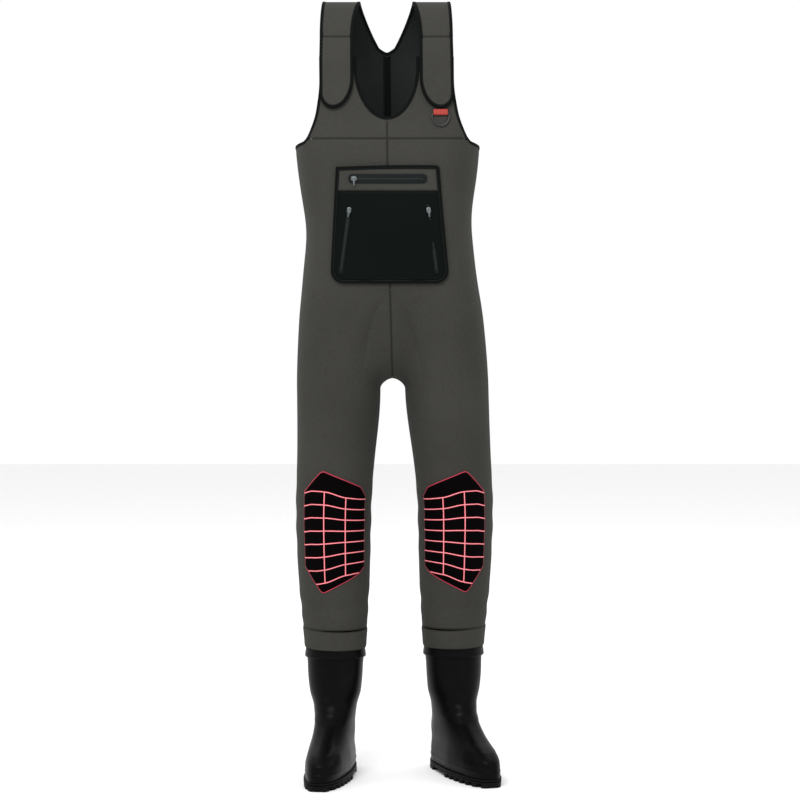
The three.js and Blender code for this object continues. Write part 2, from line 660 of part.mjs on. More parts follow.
// ---------------------------------------------------------------- zips
/** A group whose own axes are the form's: X across, Z up the front and -Y out of it. */
function standOn(x, height, lift, turn = 0) {
  const group = new THREE.Group();
  const run = frontRun(height);
  const normal = formNormal(Math.asin(x / bodyHalf(height)), run);
  const up = V(0, 0, 1).addScaledVector(normal, -normal.z).normalize();
  const across = up.clone().cross(normal).normalize();
  group.matrixAutoUpdate = false;
  group.matrix.makeBasis(across, normal.clone().negate(), up);
  group.matrix.multiply(new THREE.Matrix4().makeRotationY(turn));
  group.matrix.setPosition(onForm(x, run, lift));
  waders.add(group);
  return group;
}

/** A flat piece in X and Z with rounded ends, `thickness` towards -Y from y = 0; an optional round hole. */
function plate(width, length, radius, thickness, hole = 0) {
  const shape = new THREE.Shape();
  const [w, h] = [width / 2, length / 2];
  shape.moveTo(-w + radius, -h);
  shape.lineTo(w - radius, -h);
  shape.absarc(w - radius, -h + radius, radius, -Math.PI / 2, 0);
  shape.lineTo(w, h - radius);
  shape.absarc(w - radius, h - radius, radius, 0, Math.PI / 2);
  shape.lineTo(-w + radius, h);
  shape.absarc(-w + radius, h - radius, radius, Math.PI / 2, Math.PI);
  shape.lineTo(-w, -h + radius);
  shape.absarc(-w + radius, -h + radius, radius, Math.PI, 1.5 * Math.PI);
  if (hole) {
    const opening = new THREE.Path();
    opening.absarc(0, h - width / 2, hole, 0, 2 * Math.PI, true);
    shape.holes.push(opening);
  }
  const geometry = new THREE.ExtrudeGeometry(shape, { depth: thickness, bevelEnabled: false, curveSegments: 2 });
  return geometry.rotateX(Math.PI / 2);
}

/** A tape with its slider and puller; the slider starts at the top or the wearer's right end. */
function addZip(name, group, length, width, level) {
  const start = length / 2 - SLIDER_LENGTH;
  const tapeShape = plate(width, length, width / 2.2, ZIP_TAPE);
  const slider = plate(SLIDER_WIDTH, SLIDER_LENGTH, 2.5, SLIDER_HEIGHT);
  const sliderLift = -ZIP_TAPE - SEAM_GAP;
  slider.translate(0, sliderLift, start);
  if (level) {
    tapeShape.rotateY(-Math.PI / 2);
    slider.rotateY(-Math.PI / 2);
  }
  add(name + "_zip_tape", tapeShape, "zip", group);
  add(name + "_zip_slider", slider, "metal", group);
  const puller = plate(PULLER_WIDTH, PULLER_LENGTH, 2, PULLER_THICKNESS, 1.2);
  const hang = PULLER_LENGTH / 2 - PULLER_WIDTH / 2;
  const place = level ? V(-start, 0, -hang) : V(0, 0, start - hang);
  puller.translate(place.x, sliderLift - SLIDER_HEIGHT - SEAM_GAP, place.z);
  add(name + "_zip_puller", puller, "metal", group);
}

const zipLift = pocketFace + LAY_GAP / 2;
addZip("top", standOn(0, POCKET_TOP - TOP_ZIP_DROP, zipLift), TOP_ZIP_LENGTH, TOP_ZIP_WIDTH, true);
const sideZipMiddle = POCKET_TOP - SIDE_ZIP_DROP - SIDE_ZIP_LENGTH / 2;
const sideZipTurn = Math.atan((SIDE_ZIP_FOOT - SIDE_ZIP_TOP) / SIDE_ZIP_LENGTH);
for (const [side, sign] of Object.entries(SIDES)) {
  const x = (sign * (SIDE_ZIP_TOP + SIDE_ZIP_FOOT)) / 2;
  const group = standOn(x, sideZipMiddle, zipLift, -sign * sideZipTurn);
  addZip("side_" + side, group, SIDE_ZIP_LENGTH, SIDE_ZIP_WIDTH, false);
}

// ---------------------------------------------------------------- accessory ring
const tabHeight = SPRING - STRAP_DROP - TAB_BELOW_STRAP;
const slot = RING_WIRE / 2 + SEAM_GAP;
const tabGroup = standOn(STRAP_CENTRE + TAB_OUTWARD, tabHeight, slot + WEBBING + LAY_GAP);
const loop = new THREE.Shape();
loop.absarc(0, 0, slot + WEBBING, -Math.PI / 2, Math.PI / 2);
loop.absarc(-TAB_RISE, 0, slot + WEBBING, Math.PI / 2, 1.5 * Math.PI);
loop.closePath();
const eye = new THREE.Path();
eye.absarc(0, 0, slot, Math.PI / 2, -Math.PI / 2, true);
eye.absarc(-TAB_RISE, 0, slot, 1.5 * Math.PI, Math.PI / 2, true);
eye.closePath();
loop.holes.push(eye);
const webbing = new THREE.ExtrudeGeometry(loop, { depth: TAB_WIDTH, bevelEnabled: false, curveSegments: 6 });
webbing.rotateY(Math.PI / 2).translate(-TAB_WIDTH / 2, 0, 0);
add("webbing_tab", webbing, "webbing", tabGroup);

/** A closed round wire along a loop of points in the XZ plane. */
function wireLoop(points, radius, sides) {
  const count = points.length;
  const grid = points.map((point, i) => {
    const along = points[(i + 1) % count].clone().sub(points[(i + count - 1) % count]).normalize();
    const across = along.clone().cross(V(0, 1, 0)).normalize();
    return steps(sides).slice(0, -1).map((t) => {
      const turn = 2 * Math.PI * t;
      return point.clone().addScaledVector(across, radius * Math.cos(turn)).add(V(0, radius * Math.sin(turn), 0));
    });
  });
  const at = (j, i) => (j % count) * sides + (i % sides);
  const faces = [];
  for (let j = 0; j < count; j++) {
    for (let i = 0; i < sides; i++) faces.push([at(j, i), at(j, i + 1), at(j + 1, i + 1), at(j + 1, i)]);
  }
  return geometryOf(grid.flat(), faces);
}

const ringHalf = (RING_WIDTH - RING_WIRE) / 2;
const ringDrop = RING_HEIGHT - RING_WIRE;
const ringRoute = steps(4).map((t) => V(lerp(-1, 1, t) * (ringHalf - 2), 0, 0));
for (const t of steps(12)) {
  const sweep = Math.PI * t;
  ringRoute.push(V(ringHalf * Math.cos(sweep), 0, -3 - (ringDrop - 3) * Math.pow(Math.sin(sweep), 0.8)));
}
add("d_ring", wireLoop(ringRoute, RING_WIRE / 2, 8), "metal", tabGroup);

// ---------------------------------------------------------------- legs
const legOffset = through([
  [CUFF_BOTTOM, 117],
  [KNEE_HEIGHT, 121],
  [THIGH_TOP, 107],
]);
const legHalf = through([
  [CUFF_BOTTOM, 59.5],
  [CUFF_TOP + 20, 64.5],
  [KNEE_HEIGHT - KNEE_ZONE, 71],
  [KNEE_HEIGHT, 74],
  [KNEE_HEIGHT + KNEE_ZONE, 76],
  [THIGH_TOP, 82.5],
]);
const legDepth = through([
  [CUFF_BOTTOM, 63],
  [CUFF_TOP + 20, 69],
  [KNEE_HEIGHT - KNEE_ZONE, 76],
  [KNEE_HEIGHT, 80],
  [KNEE_HEIGHT + KNEE_ZONE, 84],
  [THIGH_TOP, 95],
]);
const legX = (sign, height) => centreLine(height) + sign * legOffset(height);
const legY = (sign, height) => sign * LEG_STANCE * smooth(1 - height / INSEAM);

/** A loop of points round a leg, `lift` out of it; the first point is straight ahead. */
function legLoop(sign, height, lift) {
  return steps(LEG_SIDES).slice(0, -1).map((t) => legPoint(sign, 2 * Math.PI * t, height, lift));
}

function legPoint(sign, angle, height, lift) {
  const x = legX(sign, height) + (legHalf(height) + lift) * Math.sin(angle);
  return V(x, legY(sign, height) - (legDepth(height) + lift) * Math.cos(angle), height);
}

function legTube(sign, bottom, top, count, lift = 0) {
  const heights = steps(count).map((t) => lerp(bottom, top, t));
  const grid = (level) => heights.map((height) => legLoop(sign, height, level));
  return wall(grid(lift), grid(lift - NEOPRENE), { around: true });
}

/** From the top of a leg to half of the hip line and half of the seam that runs between the legs. */
function hip(sign) {
  const outerCount = 2 * PANEL_COLUMNS;
  const rim = [];
  for (let i = 0; i <= outerCount; i++) {
    const place = i / outerCount;
    const angle = lerp(sideStart(HIP_FRONT), Math.PI - sideStart(HIP_BACK), place);
    const forward = section(Math.sin(angle)) * Math.sign(Math.cos(angle));
    const height = hipHeight(forward);
    const front = Math.cos(angle) > 0;
    const run = front ? frontRun(height) : backRun(height);
    const onSide = sign * (front ? angle : Math.PI - angle);
    rim.push({ point: formPoint(onSide, run), normal: formNormal(onSide, run) });
  }
  for (let i = 1; i < SEAM_COLUMNS; i++) {
    const sweep = Math.PI * (i / SEAM_COLUMNS);
    const y = (bodyBack(HIP_BACK) * (1 + Math.cos(sweep)) - bodyFront(HIP_FRONT) * (1 - Math.cos(sweep))) / 2;
    const rise = y > 0 ? HIP_BACK - INSEAM : HIP_FRONT - INSEAM;
    const reach = y > 0 ? bodyBack(HIP_BACK) : bodyFront(HIP_FRONT);
    const height = INSEAM + rise * (1 - Math.pow(1 - Math.pow(Math.abs(y) / reach, 2.6), 1 / 2.6));
    const slope = Math.sign(y) * (rise / reach) * Math.pow(Math.abs(y) / reach, 1.6);
    const x = centreLine(height) + (sign * SEAM_GAP) / 2;
    rim.push({ point: V(x, y, height), normal: V(0, slope, -1).normalize() });
  }
  const leg = rim.map((_, i) => {
    const share = i <= outerCount ? i / outerCount : (i - outerCount) / SEAM_COLUMNS;
    const angle = i <= outerCount ? lerp(-0.2, 1.2, share) * Math.PI : lerp(1.2, 1.8, share) * Math.PI;
    const point = legPoint(sign, sign * angle, THIGH_TOP + SEAM_GAP, 0);
    return { point, normal: V(sign * Math.sin(angle), -Math.cos(angle), 0) };
  });
  const grid = (lift) =>
    steps(3).map((t) =>
      rim.map(({ point, normal }, i) => {
        const out = leg[i].normal.clone().lerp(normal, t).normalize();
        return leg[i].point.clone().lerp(point, t).addScaledVector(out, lift);
      }),
    );
  return wall(grid(0), grid(-NEOPRENE), { around: true });
}

/** A knee pad: a slanted six-sided patch, its peak and its toe towards the outside of the leg. */
function kneePad(sign) {
  const top = KNEE_HEIGHT + KNEE_PAD_TOP;
  const bottom = KNEE_HEIGHT - KNEE_PAD_BOTTOM;
  const upper = through([[0, top - 40], [0.27, top], [0.93, top - 34], [1, top - 48]]);
  const lower = through([[0, bottom + 52], [0.2, bottom], [0.93, bottom + 36], [1, bottom + 50]]);
  const columns = steps(10);
  const grid = (lift) =>
    steps(4).map((t) =>
      columns.map((share) => {
        const angle = radians(lerp(KNEE_PAD_OUTER, -KNEE_PAD_INNER, share));
        return legPoint(sign, sign * angle, lerp(lower(share), upper(share), t), lift);
      }),
    );
  return wall(grid(LAY_GAP + KNEE_PAD_THICKNESS), grid(LAY_GAP));
}

for (const [side, sign] of Object.entries(SIDES)) {
  const kneeTop = KNEE_HEIGHT + KNEE_ZONE;
  const kneeBottom = KNEE_HEIGHT - KNEE_ZONE;
  add("hip_" + side, hip(sign), "neoprene");
  add("thigh_" + side, legTube(sign, kneeTop + SEAM_GAP, THIGH_TOP, 2), "neoprene");
  add("knee_sleeve_" + side, legTube(sign, kneeBottom + SEAM_GAP, kneeTop, 3), "neoprene");
  add("shin_" + side, legTube(sign, CUFF_TOP + SEAM_GAP, kneeBottom, 2), "neoprene");
  add("cuff_" + side, legTube(sign, CUFF_BOTTOM, CUFF_TOP, 1, CUFF_PROUD), "neoprene");
  add("knee_pad_" + side, kneePad(sign), "kneepad");
}

// ---------------------------------------------------------------- boots
const bootFront = through([
  [SOLE_THICKNESS, BOOT_LENGTH_FRONT],
  [45, BOOT_LENGTH_FRONT - 3],
  [62, BOOT_LENGTH_FRONT - 24],
  [78, 140],
  [95, 106],
  [118, 76],
  [ANKLE_TOP, 61],
  [CUFF_BOTTOM, SHAFT_DEPTH],
]);
const bootBack = through([
  [SOLE_THICKNESS, BOOT_LENGTH_BACK],
  [50, BOOT_LENGTH_BACK],
  [110, 60],
  [CUFF_BOTTOM, SHAFT_DEPTH],
]);
const bootHalf = through([
  [SOLE_THICKNESS, BALL_HALF - 2],
  [35, BALL_HALF],
  [69, BALL_HALF - 4],
  [95, ANKLE_HALF],
  [132, ANKLE_HALF + 4],
  [165, 49.5],
  [CUFF_BOTTOM - COLLAR_HEIGHT, SHAFT_HALF + 2],
  [CUFF_BOTTOM, SHAFT_HALF],
]);

/** A point of the boot's outline at a height, drawn in by `inset`; angle 0 is straight ahead. */
function bootPoint(angle, height, inset) {
  const ahead = Math.cos(angle) > 0;
  const square = lerp(2, ahead ? TOE_SQUARE : HEEL_SQUARE, smooth((ANKLE_TOP - height) / 70));
  const forward = Math.pow(Math.abs(Math.cos(angle)), 2 / square);
  const sideways = Math.pow(Math.abs(Math.sin(angle)), 2 / square) * Math.sign(Math.sin(angle));
  const reach = (ahead ? bootFront(height) : bootBack(height)) - inset;
  const y = (ahead ? -1 : 1) * reach * forward;
  const low = smooth((95 - height) / 40);
  const heelward = THREE.MathUtils.clamp((y + 70) / (BOOT_LENGTH_BACK + 70), 0, 1);
  return V((bootHalf(height) - inset) * sideways * (1 - 0.24 * low * heelward), y, height);
}

function bootLoop(height, inset) {
  return steps(BOOT_SIDES).slice(0, -1).map((t) => bootPoint(2 * Math.PI * t, height, inset));
}

/** A boot wall from a list of heights. */
function bootWall(heights, cup = false) {
  const outer = heights.map((height) => bootLoop(height, 0));
  const inner = heights.map((height, i) => {
    const level = cup && i === 0 ? height + BOOT_WALL : height;
    return bootLoop(level, BOOT_WALL);
  });
  return wall(outer, inner, { around: true, cup });
}

/** A block of the sole between two distances ahead of the ankle, within the boot's outline. */
function soleBlock(back, ahead, bottom, top, proud) {
  const outline = [];
  const across = (y) => {
    const reach = y < 0 ? BOOT_LENGTH_FRONT : BOOT_LENGTH_BACK;
    const share = Math.min(1, Math.abs(y) / (reach + proud));
    const square = y < 0 ? TOE_SQUARE : HEEL_SQUARE;
    const heelward = THREE.MathUtils.clamp((y + 70) / (BOOT_LENGTH_BACK + 70), 0, 1);
    return (BALL_HALF + proud) * Math.pow(1 - Math.pow(share, square), 1 / square) * (1 - 0.24 * heelward);
  };
  const places = steps(back - -ahead > HEEL_LENGTH ? 10 : 4).map((t) => lerp(back, -ahead, 0.5 - 0.5 * Math.cos(Math.PI * t)));
  for (const y of places) outline.push([Math.max(1, across(y)), y]);
  for (const y of places.reverse()) outline.push([-Math.max(1, across(y)), y]);
  return stack([bottom, top].map((z) => outline.map(([x, y]) => V(x, y, z))));
}

for (const [side, sign] of Object.entries(SIDES)) {
  const boot = new THREE.Group();
  boot.position.set(legX(sign, CUFF_BOTTOM), legY(sign, CUFF_BOTTOM), 0);
  boot.rotation.z = sign * radians(BOOT_YAW[side]);
  waders.add(boot);

  const mouth = [ANKLE_TOP + SEAM_GAP, 190, CUFF_BOTTOM - COLLAR_HEIGHT, CUFF_BOTTOM, SHAFT_TOP];
  add("boot_shaft_" + side, bootWall(mouth), "rubber", boot);
  add("boot_ankle_" + side, bootWall([ANKLE_BOTTOM + SEAM_GAP, 100, 120, ANKLE_TOP]), "rubber", boot);
  const foot = [SOLE_THICKNESS + SEAM_GAP, 32, 50, 62, 73, ANKLE_BOTTOM];
  add("boot_foot_" + side, bootWall(foot, true), "rubber", boot);

  const collarHeights = [CUFF_BOTTOM - COLLAR_HEIGHT, CUFF_BOTTOM - SEAM_GAP];
  const collar = (inset) => collarHeights.map((height) => bootLoop(height, inset));
  add("boot_collar_" + side, wall(collar(-LAY_GAP - COLLAR_THICKNESS), collar(-LAY_GAP), { around: true }), "rubber", boot);

  const back = BOOT_LENGTH_BACK + SOLE_PROUD;
  const ahead = BOOT_LENGTH_FRONT + SOLE_PROUD;
  const blocks = [soleBlock(back, ahead, CLEAT_DEPTH, SOLE_THICKNESS, SOLE_PROUD)];
  blocks.push(soleBlock(back, HEEL_LENGTH - back, 0, CLEAT_DEPTH + 1, SOLE_PROUD));
  const pitch = FOREFOOT_LENGTH / CLEAT_COUNT;
  for (let i = 0; i < CLEAT_COUNT; i++) {
    const front = ahead - i * pitch;
    blocks.push(soleBlock(CLEAT_LENGTH - front, front, 0, CLEAT_DEPTH + 1, SOLE_PROUD));
  }
  add("outsole_" + side, joined(blocks), "sole", boot);

  const floor = SOLE_THICKNESS + SEAM_GAP + BOOT_WALL + SEAM_GAP;
  const insole = [floor, floor + INSOLE_THICKNESS].map((height) => bootLoop(height, BOOT_WALL + 3));
  add("insole_" + side, stack(insole), "lining", boot);
}

export default waders;
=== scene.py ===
"""Chest waders: the sewn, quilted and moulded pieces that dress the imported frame.

The garment is drafted as a tailor would, in millimetres above the soles, on a form that the bib lies on
and on two legs and two boots. Each piece is a patch of one of those surfaces. Blender's own units are
metres in the frame of the CAD, with the front facing -Y and the wearer's left at +X.
"""

import logging  # noqa: E402
import math  # noqa: E402
from dataclasses import dataclass, field  # noqa: E402
from enum import Enum  # noqa: E402
from typing import Callable, Iterable, Optional, Sequence  # noqa: E402

import bmesh  # noqa: E402
import bpy  # noqa: E402
from mathutils import Matrix, Vector  # noqa: E402


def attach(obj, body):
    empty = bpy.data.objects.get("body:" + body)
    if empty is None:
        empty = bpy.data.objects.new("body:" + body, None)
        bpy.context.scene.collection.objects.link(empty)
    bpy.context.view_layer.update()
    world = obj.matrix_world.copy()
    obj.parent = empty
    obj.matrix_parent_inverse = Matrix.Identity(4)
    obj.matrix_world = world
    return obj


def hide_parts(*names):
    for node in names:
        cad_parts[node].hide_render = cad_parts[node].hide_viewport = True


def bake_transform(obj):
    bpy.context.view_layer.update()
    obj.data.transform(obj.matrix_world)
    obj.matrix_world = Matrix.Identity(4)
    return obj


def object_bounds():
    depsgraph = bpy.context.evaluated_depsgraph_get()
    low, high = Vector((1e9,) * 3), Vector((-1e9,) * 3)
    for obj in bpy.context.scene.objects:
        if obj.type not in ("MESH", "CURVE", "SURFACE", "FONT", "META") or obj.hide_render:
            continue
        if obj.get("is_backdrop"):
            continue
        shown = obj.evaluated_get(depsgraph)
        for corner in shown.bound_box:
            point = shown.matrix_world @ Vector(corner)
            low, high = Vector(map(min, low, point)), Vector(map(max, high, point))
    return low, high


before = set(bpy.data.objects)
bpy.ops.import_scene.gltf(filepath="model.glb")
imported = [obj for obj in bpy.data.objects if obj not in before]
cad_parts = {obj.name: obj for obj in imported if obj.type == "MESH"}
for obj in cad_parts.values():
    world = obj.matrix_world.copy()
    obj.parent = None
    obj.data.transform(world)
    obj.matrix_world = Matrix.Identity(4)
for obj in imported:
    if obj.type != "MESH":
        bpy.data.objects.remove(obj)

log = logging.getLogger("waders")

MM = 0.001
CAD_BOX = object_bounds()
SOLES = CAD_BOX[0].z
NEOPRENE = 4.5
FAR_FROM_SEAM = 99.0  # further, in millimetres, than a seam shades or a stitch shows
TURN = 2 * math.pi


class Side(Enum):
    """The wearer's side, with the sign of X on it."""

    LEFT = 1
    RIGHT = -1

    @property
    def word(self) -> str:
        """The side as it ends a node's name."""
        return self.name.lower()


def clamp(value: float, low: float = 0.0, high: float = 1.0) -> float:
    """The value held between two limits."""
    return max(low, min(high, value))


def lerp(a: float, b: float, t: float) -> float:
    """The value a share t of the way from a to b."""
    return a + (b - a) * t


def smooth(t: float) -> float:
    """A share eased at both ends."""
    t = clamp(t)
    return t * t * (3 - 2 * t)


def crowd(t: float, margin: float, share: float) -> float:
    """Gathers divisions near both edges of a patch.

    Args:
        t: place of a division, 0 to 1.
        margin: share of the width that the gathered divisions cover at each edge.
        share: share of the divisions that are gathered there.

    Returns:
        The place moved, still 0 to 1.
    """
    if t < share:
        return t / share * margin
    if t > 1 - share:
        return 1 - (1 - t) / share * margin
    return lerp(margin, 1 - margin, (t - share) / (1 - 2 * share))


class Profile:
    """A smooth curve through (place, value) pairs that never overshoots them."""

    def __init__(self, *pairs: tuple[float, float]) -> None:
        """Keeps the pairs and works out the slope at each."""
        self.pairs = pairs
        self.slopes = [0.0] * len(pairs)
        for i in range(1, len(pairs) - 1):
            before = (pairs[i][1] - pairs[i - 1][1]) / (pairs[i][0] - pairs[i - 1][0])
            after = (pairs[i + 1][1] - pairs[i][1]) / (pairs[i + 1][0] - pairs[i][0])
            if before * after > 0:
                self.slopes[i] = 2 * before * after / (before + after)

    def __call__(self, place: float) -> float:
        """The value at a place."""
        pairs = self.pairs
        if place <= pairs[0][0]:
            return pairs[0][1]
        if place >= pairs[-1][0]:
            return pairs[-1][1]
        i = next(k for k, pair in enumerate(pairs) if place < pair[0]) - 1
        span = pairs[i + 1][0] - pairs[i][0]
        t = (place - pairs[i][0]) / span
        near, far = self.slopes[i] * span, self.slopes[i + 1] * span
        rise = (pairs[i + 1][1] - pairs[i][1]) * t * t * (3 - 2 * t)
        return pairs[i][1] + rise + near * t * (1 - t) ** 2 - far * t * t * (1 - t)


def rounded_line(pairs: Sequence[tuple[float, float]], round_off: float) -> Callable[[float], float]:
    """A broken line with its corners rounded.

    Args:
        pairs: its corners as (place, value).
        round_off: how far each side of a corner the rounding reaches.

    Returns:
        The function that gives the value at a place.
    """

    def straight(place: float) -> float:
        place = clamp(place, pairs[0][0], pairs[-1][0])
        for (a, low), (b, high) in zip(pairs, pairs[1:]):
            if place <= b:
                return lerp(low, high, (place - a) / (b - a))
        return pairs[-1][1]

    def soft(place: float) -> float:
        taps = [straight(place + round_off * k / 4) * (5 - abs(k)) for k in range(-4, 5)]
        return sum(taps) / 25

    return soft


# ------------------------------------------------------------------------------------------ mesh work
class Workpiece:
    """A mesh in the making: patches and sewn strips laid into one bmesh."""

    def __init__(self, name: str) -> None:
        """Starts an empty mesh that carries a cloth map and the distance to the nearest stitching."""
        self.name = name
        self.bm = bmesh.new()
        self.uv = self.bm.loops.layers.uv.new("cloth")
        self.edge = self.bm.verts.layers.float.new("edge")

    def patch(
        self,
        columns: int,
        rows: int,
        place: Callable[[float, float], Vector],
        size: tuple[float, float],
        edge: Optional[Callable[[float, float], float]] = None,
        material: int = 0,
    ) -> list[bmesh.types.BMVert]:
        """Lays a grid and moves each of its points onto a surface.

        Args:
            columns: divisions across.
            rows: divisions along.
            place: gives the point, in metres, at a share across and along.
            size: real width and length of the patch in metres, for its cloth map.
            edge: gives the distance in millimetres to the nearest stitched edge.
            material: index of the patch's material.

        Returns:
            The patch's vertices.
        """
        made = bmesh.ops.create_grid(self.bm, x_segments=columns, y_segments=rows, size=0.5)["verts"]
        shares = {}
        for vert in made:
            u, v = clamp(vert.co.x + 0.5), clamp(vert.co.y + 0.5)
            shares[vert] = (u * size[0], v * size[1])
            vert[self.edge] = edge(u, v) if edge else FAR_FROM_SEAM
            vert.co = place(u, v)
        for face in {f for vert in made for f in vert.link_faces}:
            face.smooth = True
            face.material_index = material
            for loop in face.loops:
                loop[self.uv].uv = shares[loop.vert]
        return made

    def strip(
        self,
        route: Sequence[tuple[Vector, Vector]],
        half: float,
        thick: float,
        closed: bool = False,
        sides: int = 12,
        square: float = 2.6,
        material: int = 0,
        turn: bool = False,
    ) -> None:
        """Sweeps a rounded flat section along a route.

        Args:
            route: points in metres, each with the direction that the strip's face looks in.
            half: half of the width across the face, in millimetres.
            thick: half of the thickness, in millimetres.
            closed: whether the route comes back to its start.
            sides: divisions round the section.
            square: 2 for an ellipse, more for a boxier section.
            material: index of the strip's material.
            turn: whether the edge distance is counted from the strip's other lip.
        """
        count = len(route)
        rings = []
        travel = [0.0]
        for i, (point, face) in enumerate(route):
            ahead = route[(i + 1) % count][0] if closed or i + 1 < count else point
            behind = route[i - 1][0] if closed or i else point
            along = (ahead - behind).normalized()
            across = along.cross(face).normalized()
            rings.append((point, across, across.cross(along).normalized()))
            if i:
                travel.append(travel[-1] + (point - route[i - 1][0]).length)
        spans = count if closed else count - 1

        def section(u: float) -> tuple[float, float]:
            angle = TURN * u
            c, s = math.cos(angle), math.sin(angle)
            return (
                math.copysign(abs(c) ** (2 / square), c) * half,
                math.copysign(abs(s) ** (2 / square), s) * thick,
            )

        def place(u: float, v: float) -> Vector:
            point, across, out = rings[round(v * spans) % count]
            a, b = section(u)
            return point + across * (a * MM) + out * (b * MM)

        def lip(u: float, _v: float) -> float:
            a = section(u)[0]
            return half + (a if turn else -a)

        made = self.patch(sides, spans, place, (4 * half * MM, travel[-1]), lip, material)
        bmesh.ops.remove_doubles(self.bm, verts=made, dist=1e-6)
        kept = [vert for vert in made if vert.is_valid]
        if not closed:
            rims = {e for vert in kept for e in vert.link_edges if e.is_boundary}
            bmesh.ops.holes_fill(self.bm, edges=list(rims), sides=0)
        faces = {f for vert in kept for f in vert.link_faces}
        bmesh.ops.recalc_face_normals(self.bm, faces=list(faces))
        for f in faces:
            f.material_index = material

    def weld(self, distance: float = 1e-6) -> None:
        """Joins points that fall on each other."""
        bmesh.ops.remove_doubles(self.bm, verts=self.bm.verts, dist=distance)

    def face_away(self, inside: Callable[[Vector], Vector]) -> None:
        """Turns an open patch so that its faces look away from what it wraps.

        Args:
            inside: gives the point within the object that is nearest to a place.
        """
        self.bm.normal_update()
        total = 0.0
        for f in self.bm.faces:
            centre = f.calc_center_median()
            total += f.normal.dot((centre - inside(centre)).normalized()) * f.calc_area()
        if total < 0:
            bmesh.ops.reverse_faces(self.bm, faces=self.bm.faces)

    def close(self) -> None:
        """Makes every face of a closed piece look outwards."""
        bmesh.ops.recalc_face_normals(self.bm, faces=self.bm.faces)

    def finish(
        self,
        materials: Sequence[bpy.types.Material],
        wall: float = 0.0,
        lined: int = 0,
        rim: int = 0,
        round_rim: float = 0.0,
        sharp: float = 40.0,
    ) -> bpy.types.Object:
        """Makes the object, gives it a wall and rounds its rims.

        Args:
            materials: its materials, outside first.
            wall: thickness in millimetres added inwards, or 0.
            lined: step from the outer face's material to the inner face's.
            rim: step to the material of the cut edge.
            round_rim: radius in millimetres of the rounding of sharp edges.
            sharp: angle in degrees past which an edge is drawn sharp.

        Returns:
            The finished object, at the origin.
        """
        mesh = bpy.data.meshes.new(self.name)
        self.bm.normal_update()
        self.bm.to_mesh(mesh)
        self.bm.free()
        for material in materials:
            mesh.materials.append(material)
        made = bpy.data.objects.new(self.name, mesh)
        bpy.context.scene.collection.objects.link(made)
        if wall:
            shell = made.modifiers.new("wall", "SOLIDIFY")
            shell.thickness = wall * MM
            shell.offset = -1
            shell.use_even_offset = True
            shell.material_offset = lined
            shell.material_offset_rim = rim
        if round_rim:
            bevel = made.modifiers.new("rim", "BEVEL")
            bevel.width = round_rim * MM
            bevel.segments = 2
            bevel.limit_method = "ANGLE"
            bevel.angle_limit = math.radians(50)
        if wall or round_rim:
            bpy.context.view_layer.update()
            graph = bpy.context.evaluated_depsgraph_get()
            settled = bpy.data.meshes.new_from_object(made.evaluated_get(graph), depsgraph=graph)
            made.modifiers.clear()
            made.data = settled
            bpy.data.meshes.remove(mesh)
            settled.name = self.name
        for polygon in made.data.polygons:
            polygon.use_smooth = True
        made.data.set_sharp_from_angle(angle=math.radians(sharp))
        return made


def round_edges(
    bm: bmesh.types.BMesh, edges: Iterable[bmesh.types.BMEdge], radius: float, segments: int
) -> None:
    """Rounds edges of a mesh over, without running into their neighbours."""
    bmesh.ops.bevel(
        bm, geom=list(edges), offset=radius, segments=segments, affect="EDGES", profile=0.5, material=-1,
        clamp_overlap=True,
    )


def place(x: float, y: float, height: float) -> Vector:
    """A point in metres in the frame, from millimetres across, in depth and above the soles."""
    return Vector((x * MM, y * MM, height * MM + SOLES))


# ------------------------------------------------------------------------------------------ materials
class Bench:
    """Lays out the nodes of one tree."""

    def __init__(self, tree: bpy.types.NodeTree) -> None:
        """Takes the tree to work in."""
        self.tree = tree

    def node(self, kind: str, inputs: Optional[dict] = None, **settings: object) -> bpy.types.Node:
        """Adds a node.

        Args:
            kind: its type without the leading word that all types share.
            inputs: values or sockets for its inputs, by name or index.
            **settings: its own properties.

        Returns:
            The node.
        """
        made = self.tree.nodes.new("ShaderNode" + kind if not kind.startswith("Node") else kind)
        for key, value in settings.items():
            setattr(made, key, value)
        for key, value in (inputs or {}).items():
            if isinstance(value, bpy.types.NodeSocket):
                self.tree.links.new(value, made.inputs[key])
            else:
                made.inputs[key].default_value = value
        return made

    def math(self, operation: str, a: object, b: object = 0.0, c: object = 0.0) -> bpy.types.NodeSocket:
        """One step of arithmetic on numbers or sockets; gives its result."""
        return self.node("Math", {0: a, 1: b, 2: c}, operation=operation).outputs[0]

    def between(
        self, value: object, low: float, high: float, to: tuple[float, float]
    ) -> bpy.types.NodeSocket:
        """Maps a range to another with eased ends; gives the result."""
        given = {"Value": value, "From Min": low, "From Max": high, "To Min": to[0], "To Max": to[1]}
        return self.node("MapRange", given, interpolation_type="SMOOTHSTEP").outputs["Result"]

    def shade(self, colour: object, tone: object) -> bpy.types.NodeSocket:
        """A colour multiplied by a tone; gives the result."""
        return self.mix(1.0, colour, tone, "MULTIPLY")

    def mix(self, share: object, a: object, b: object, way: str = "MIX") -> bpy.types.NodeSocket:
        """Two colours mixed by a share; gives the result."""
        mix = self.node("Mix", data_type="RGBA", blend_type=way)
        for socket, value in ((mix.inputs[0], share), (mix.inputs[6], a), (mix.inputs[7], b)):
            if isinstance(value, bpy.types.NodeSocket):
                self.tree.links.new(value, socket)
            else:
                socket.default_value = value
        return mix.outputs[2]


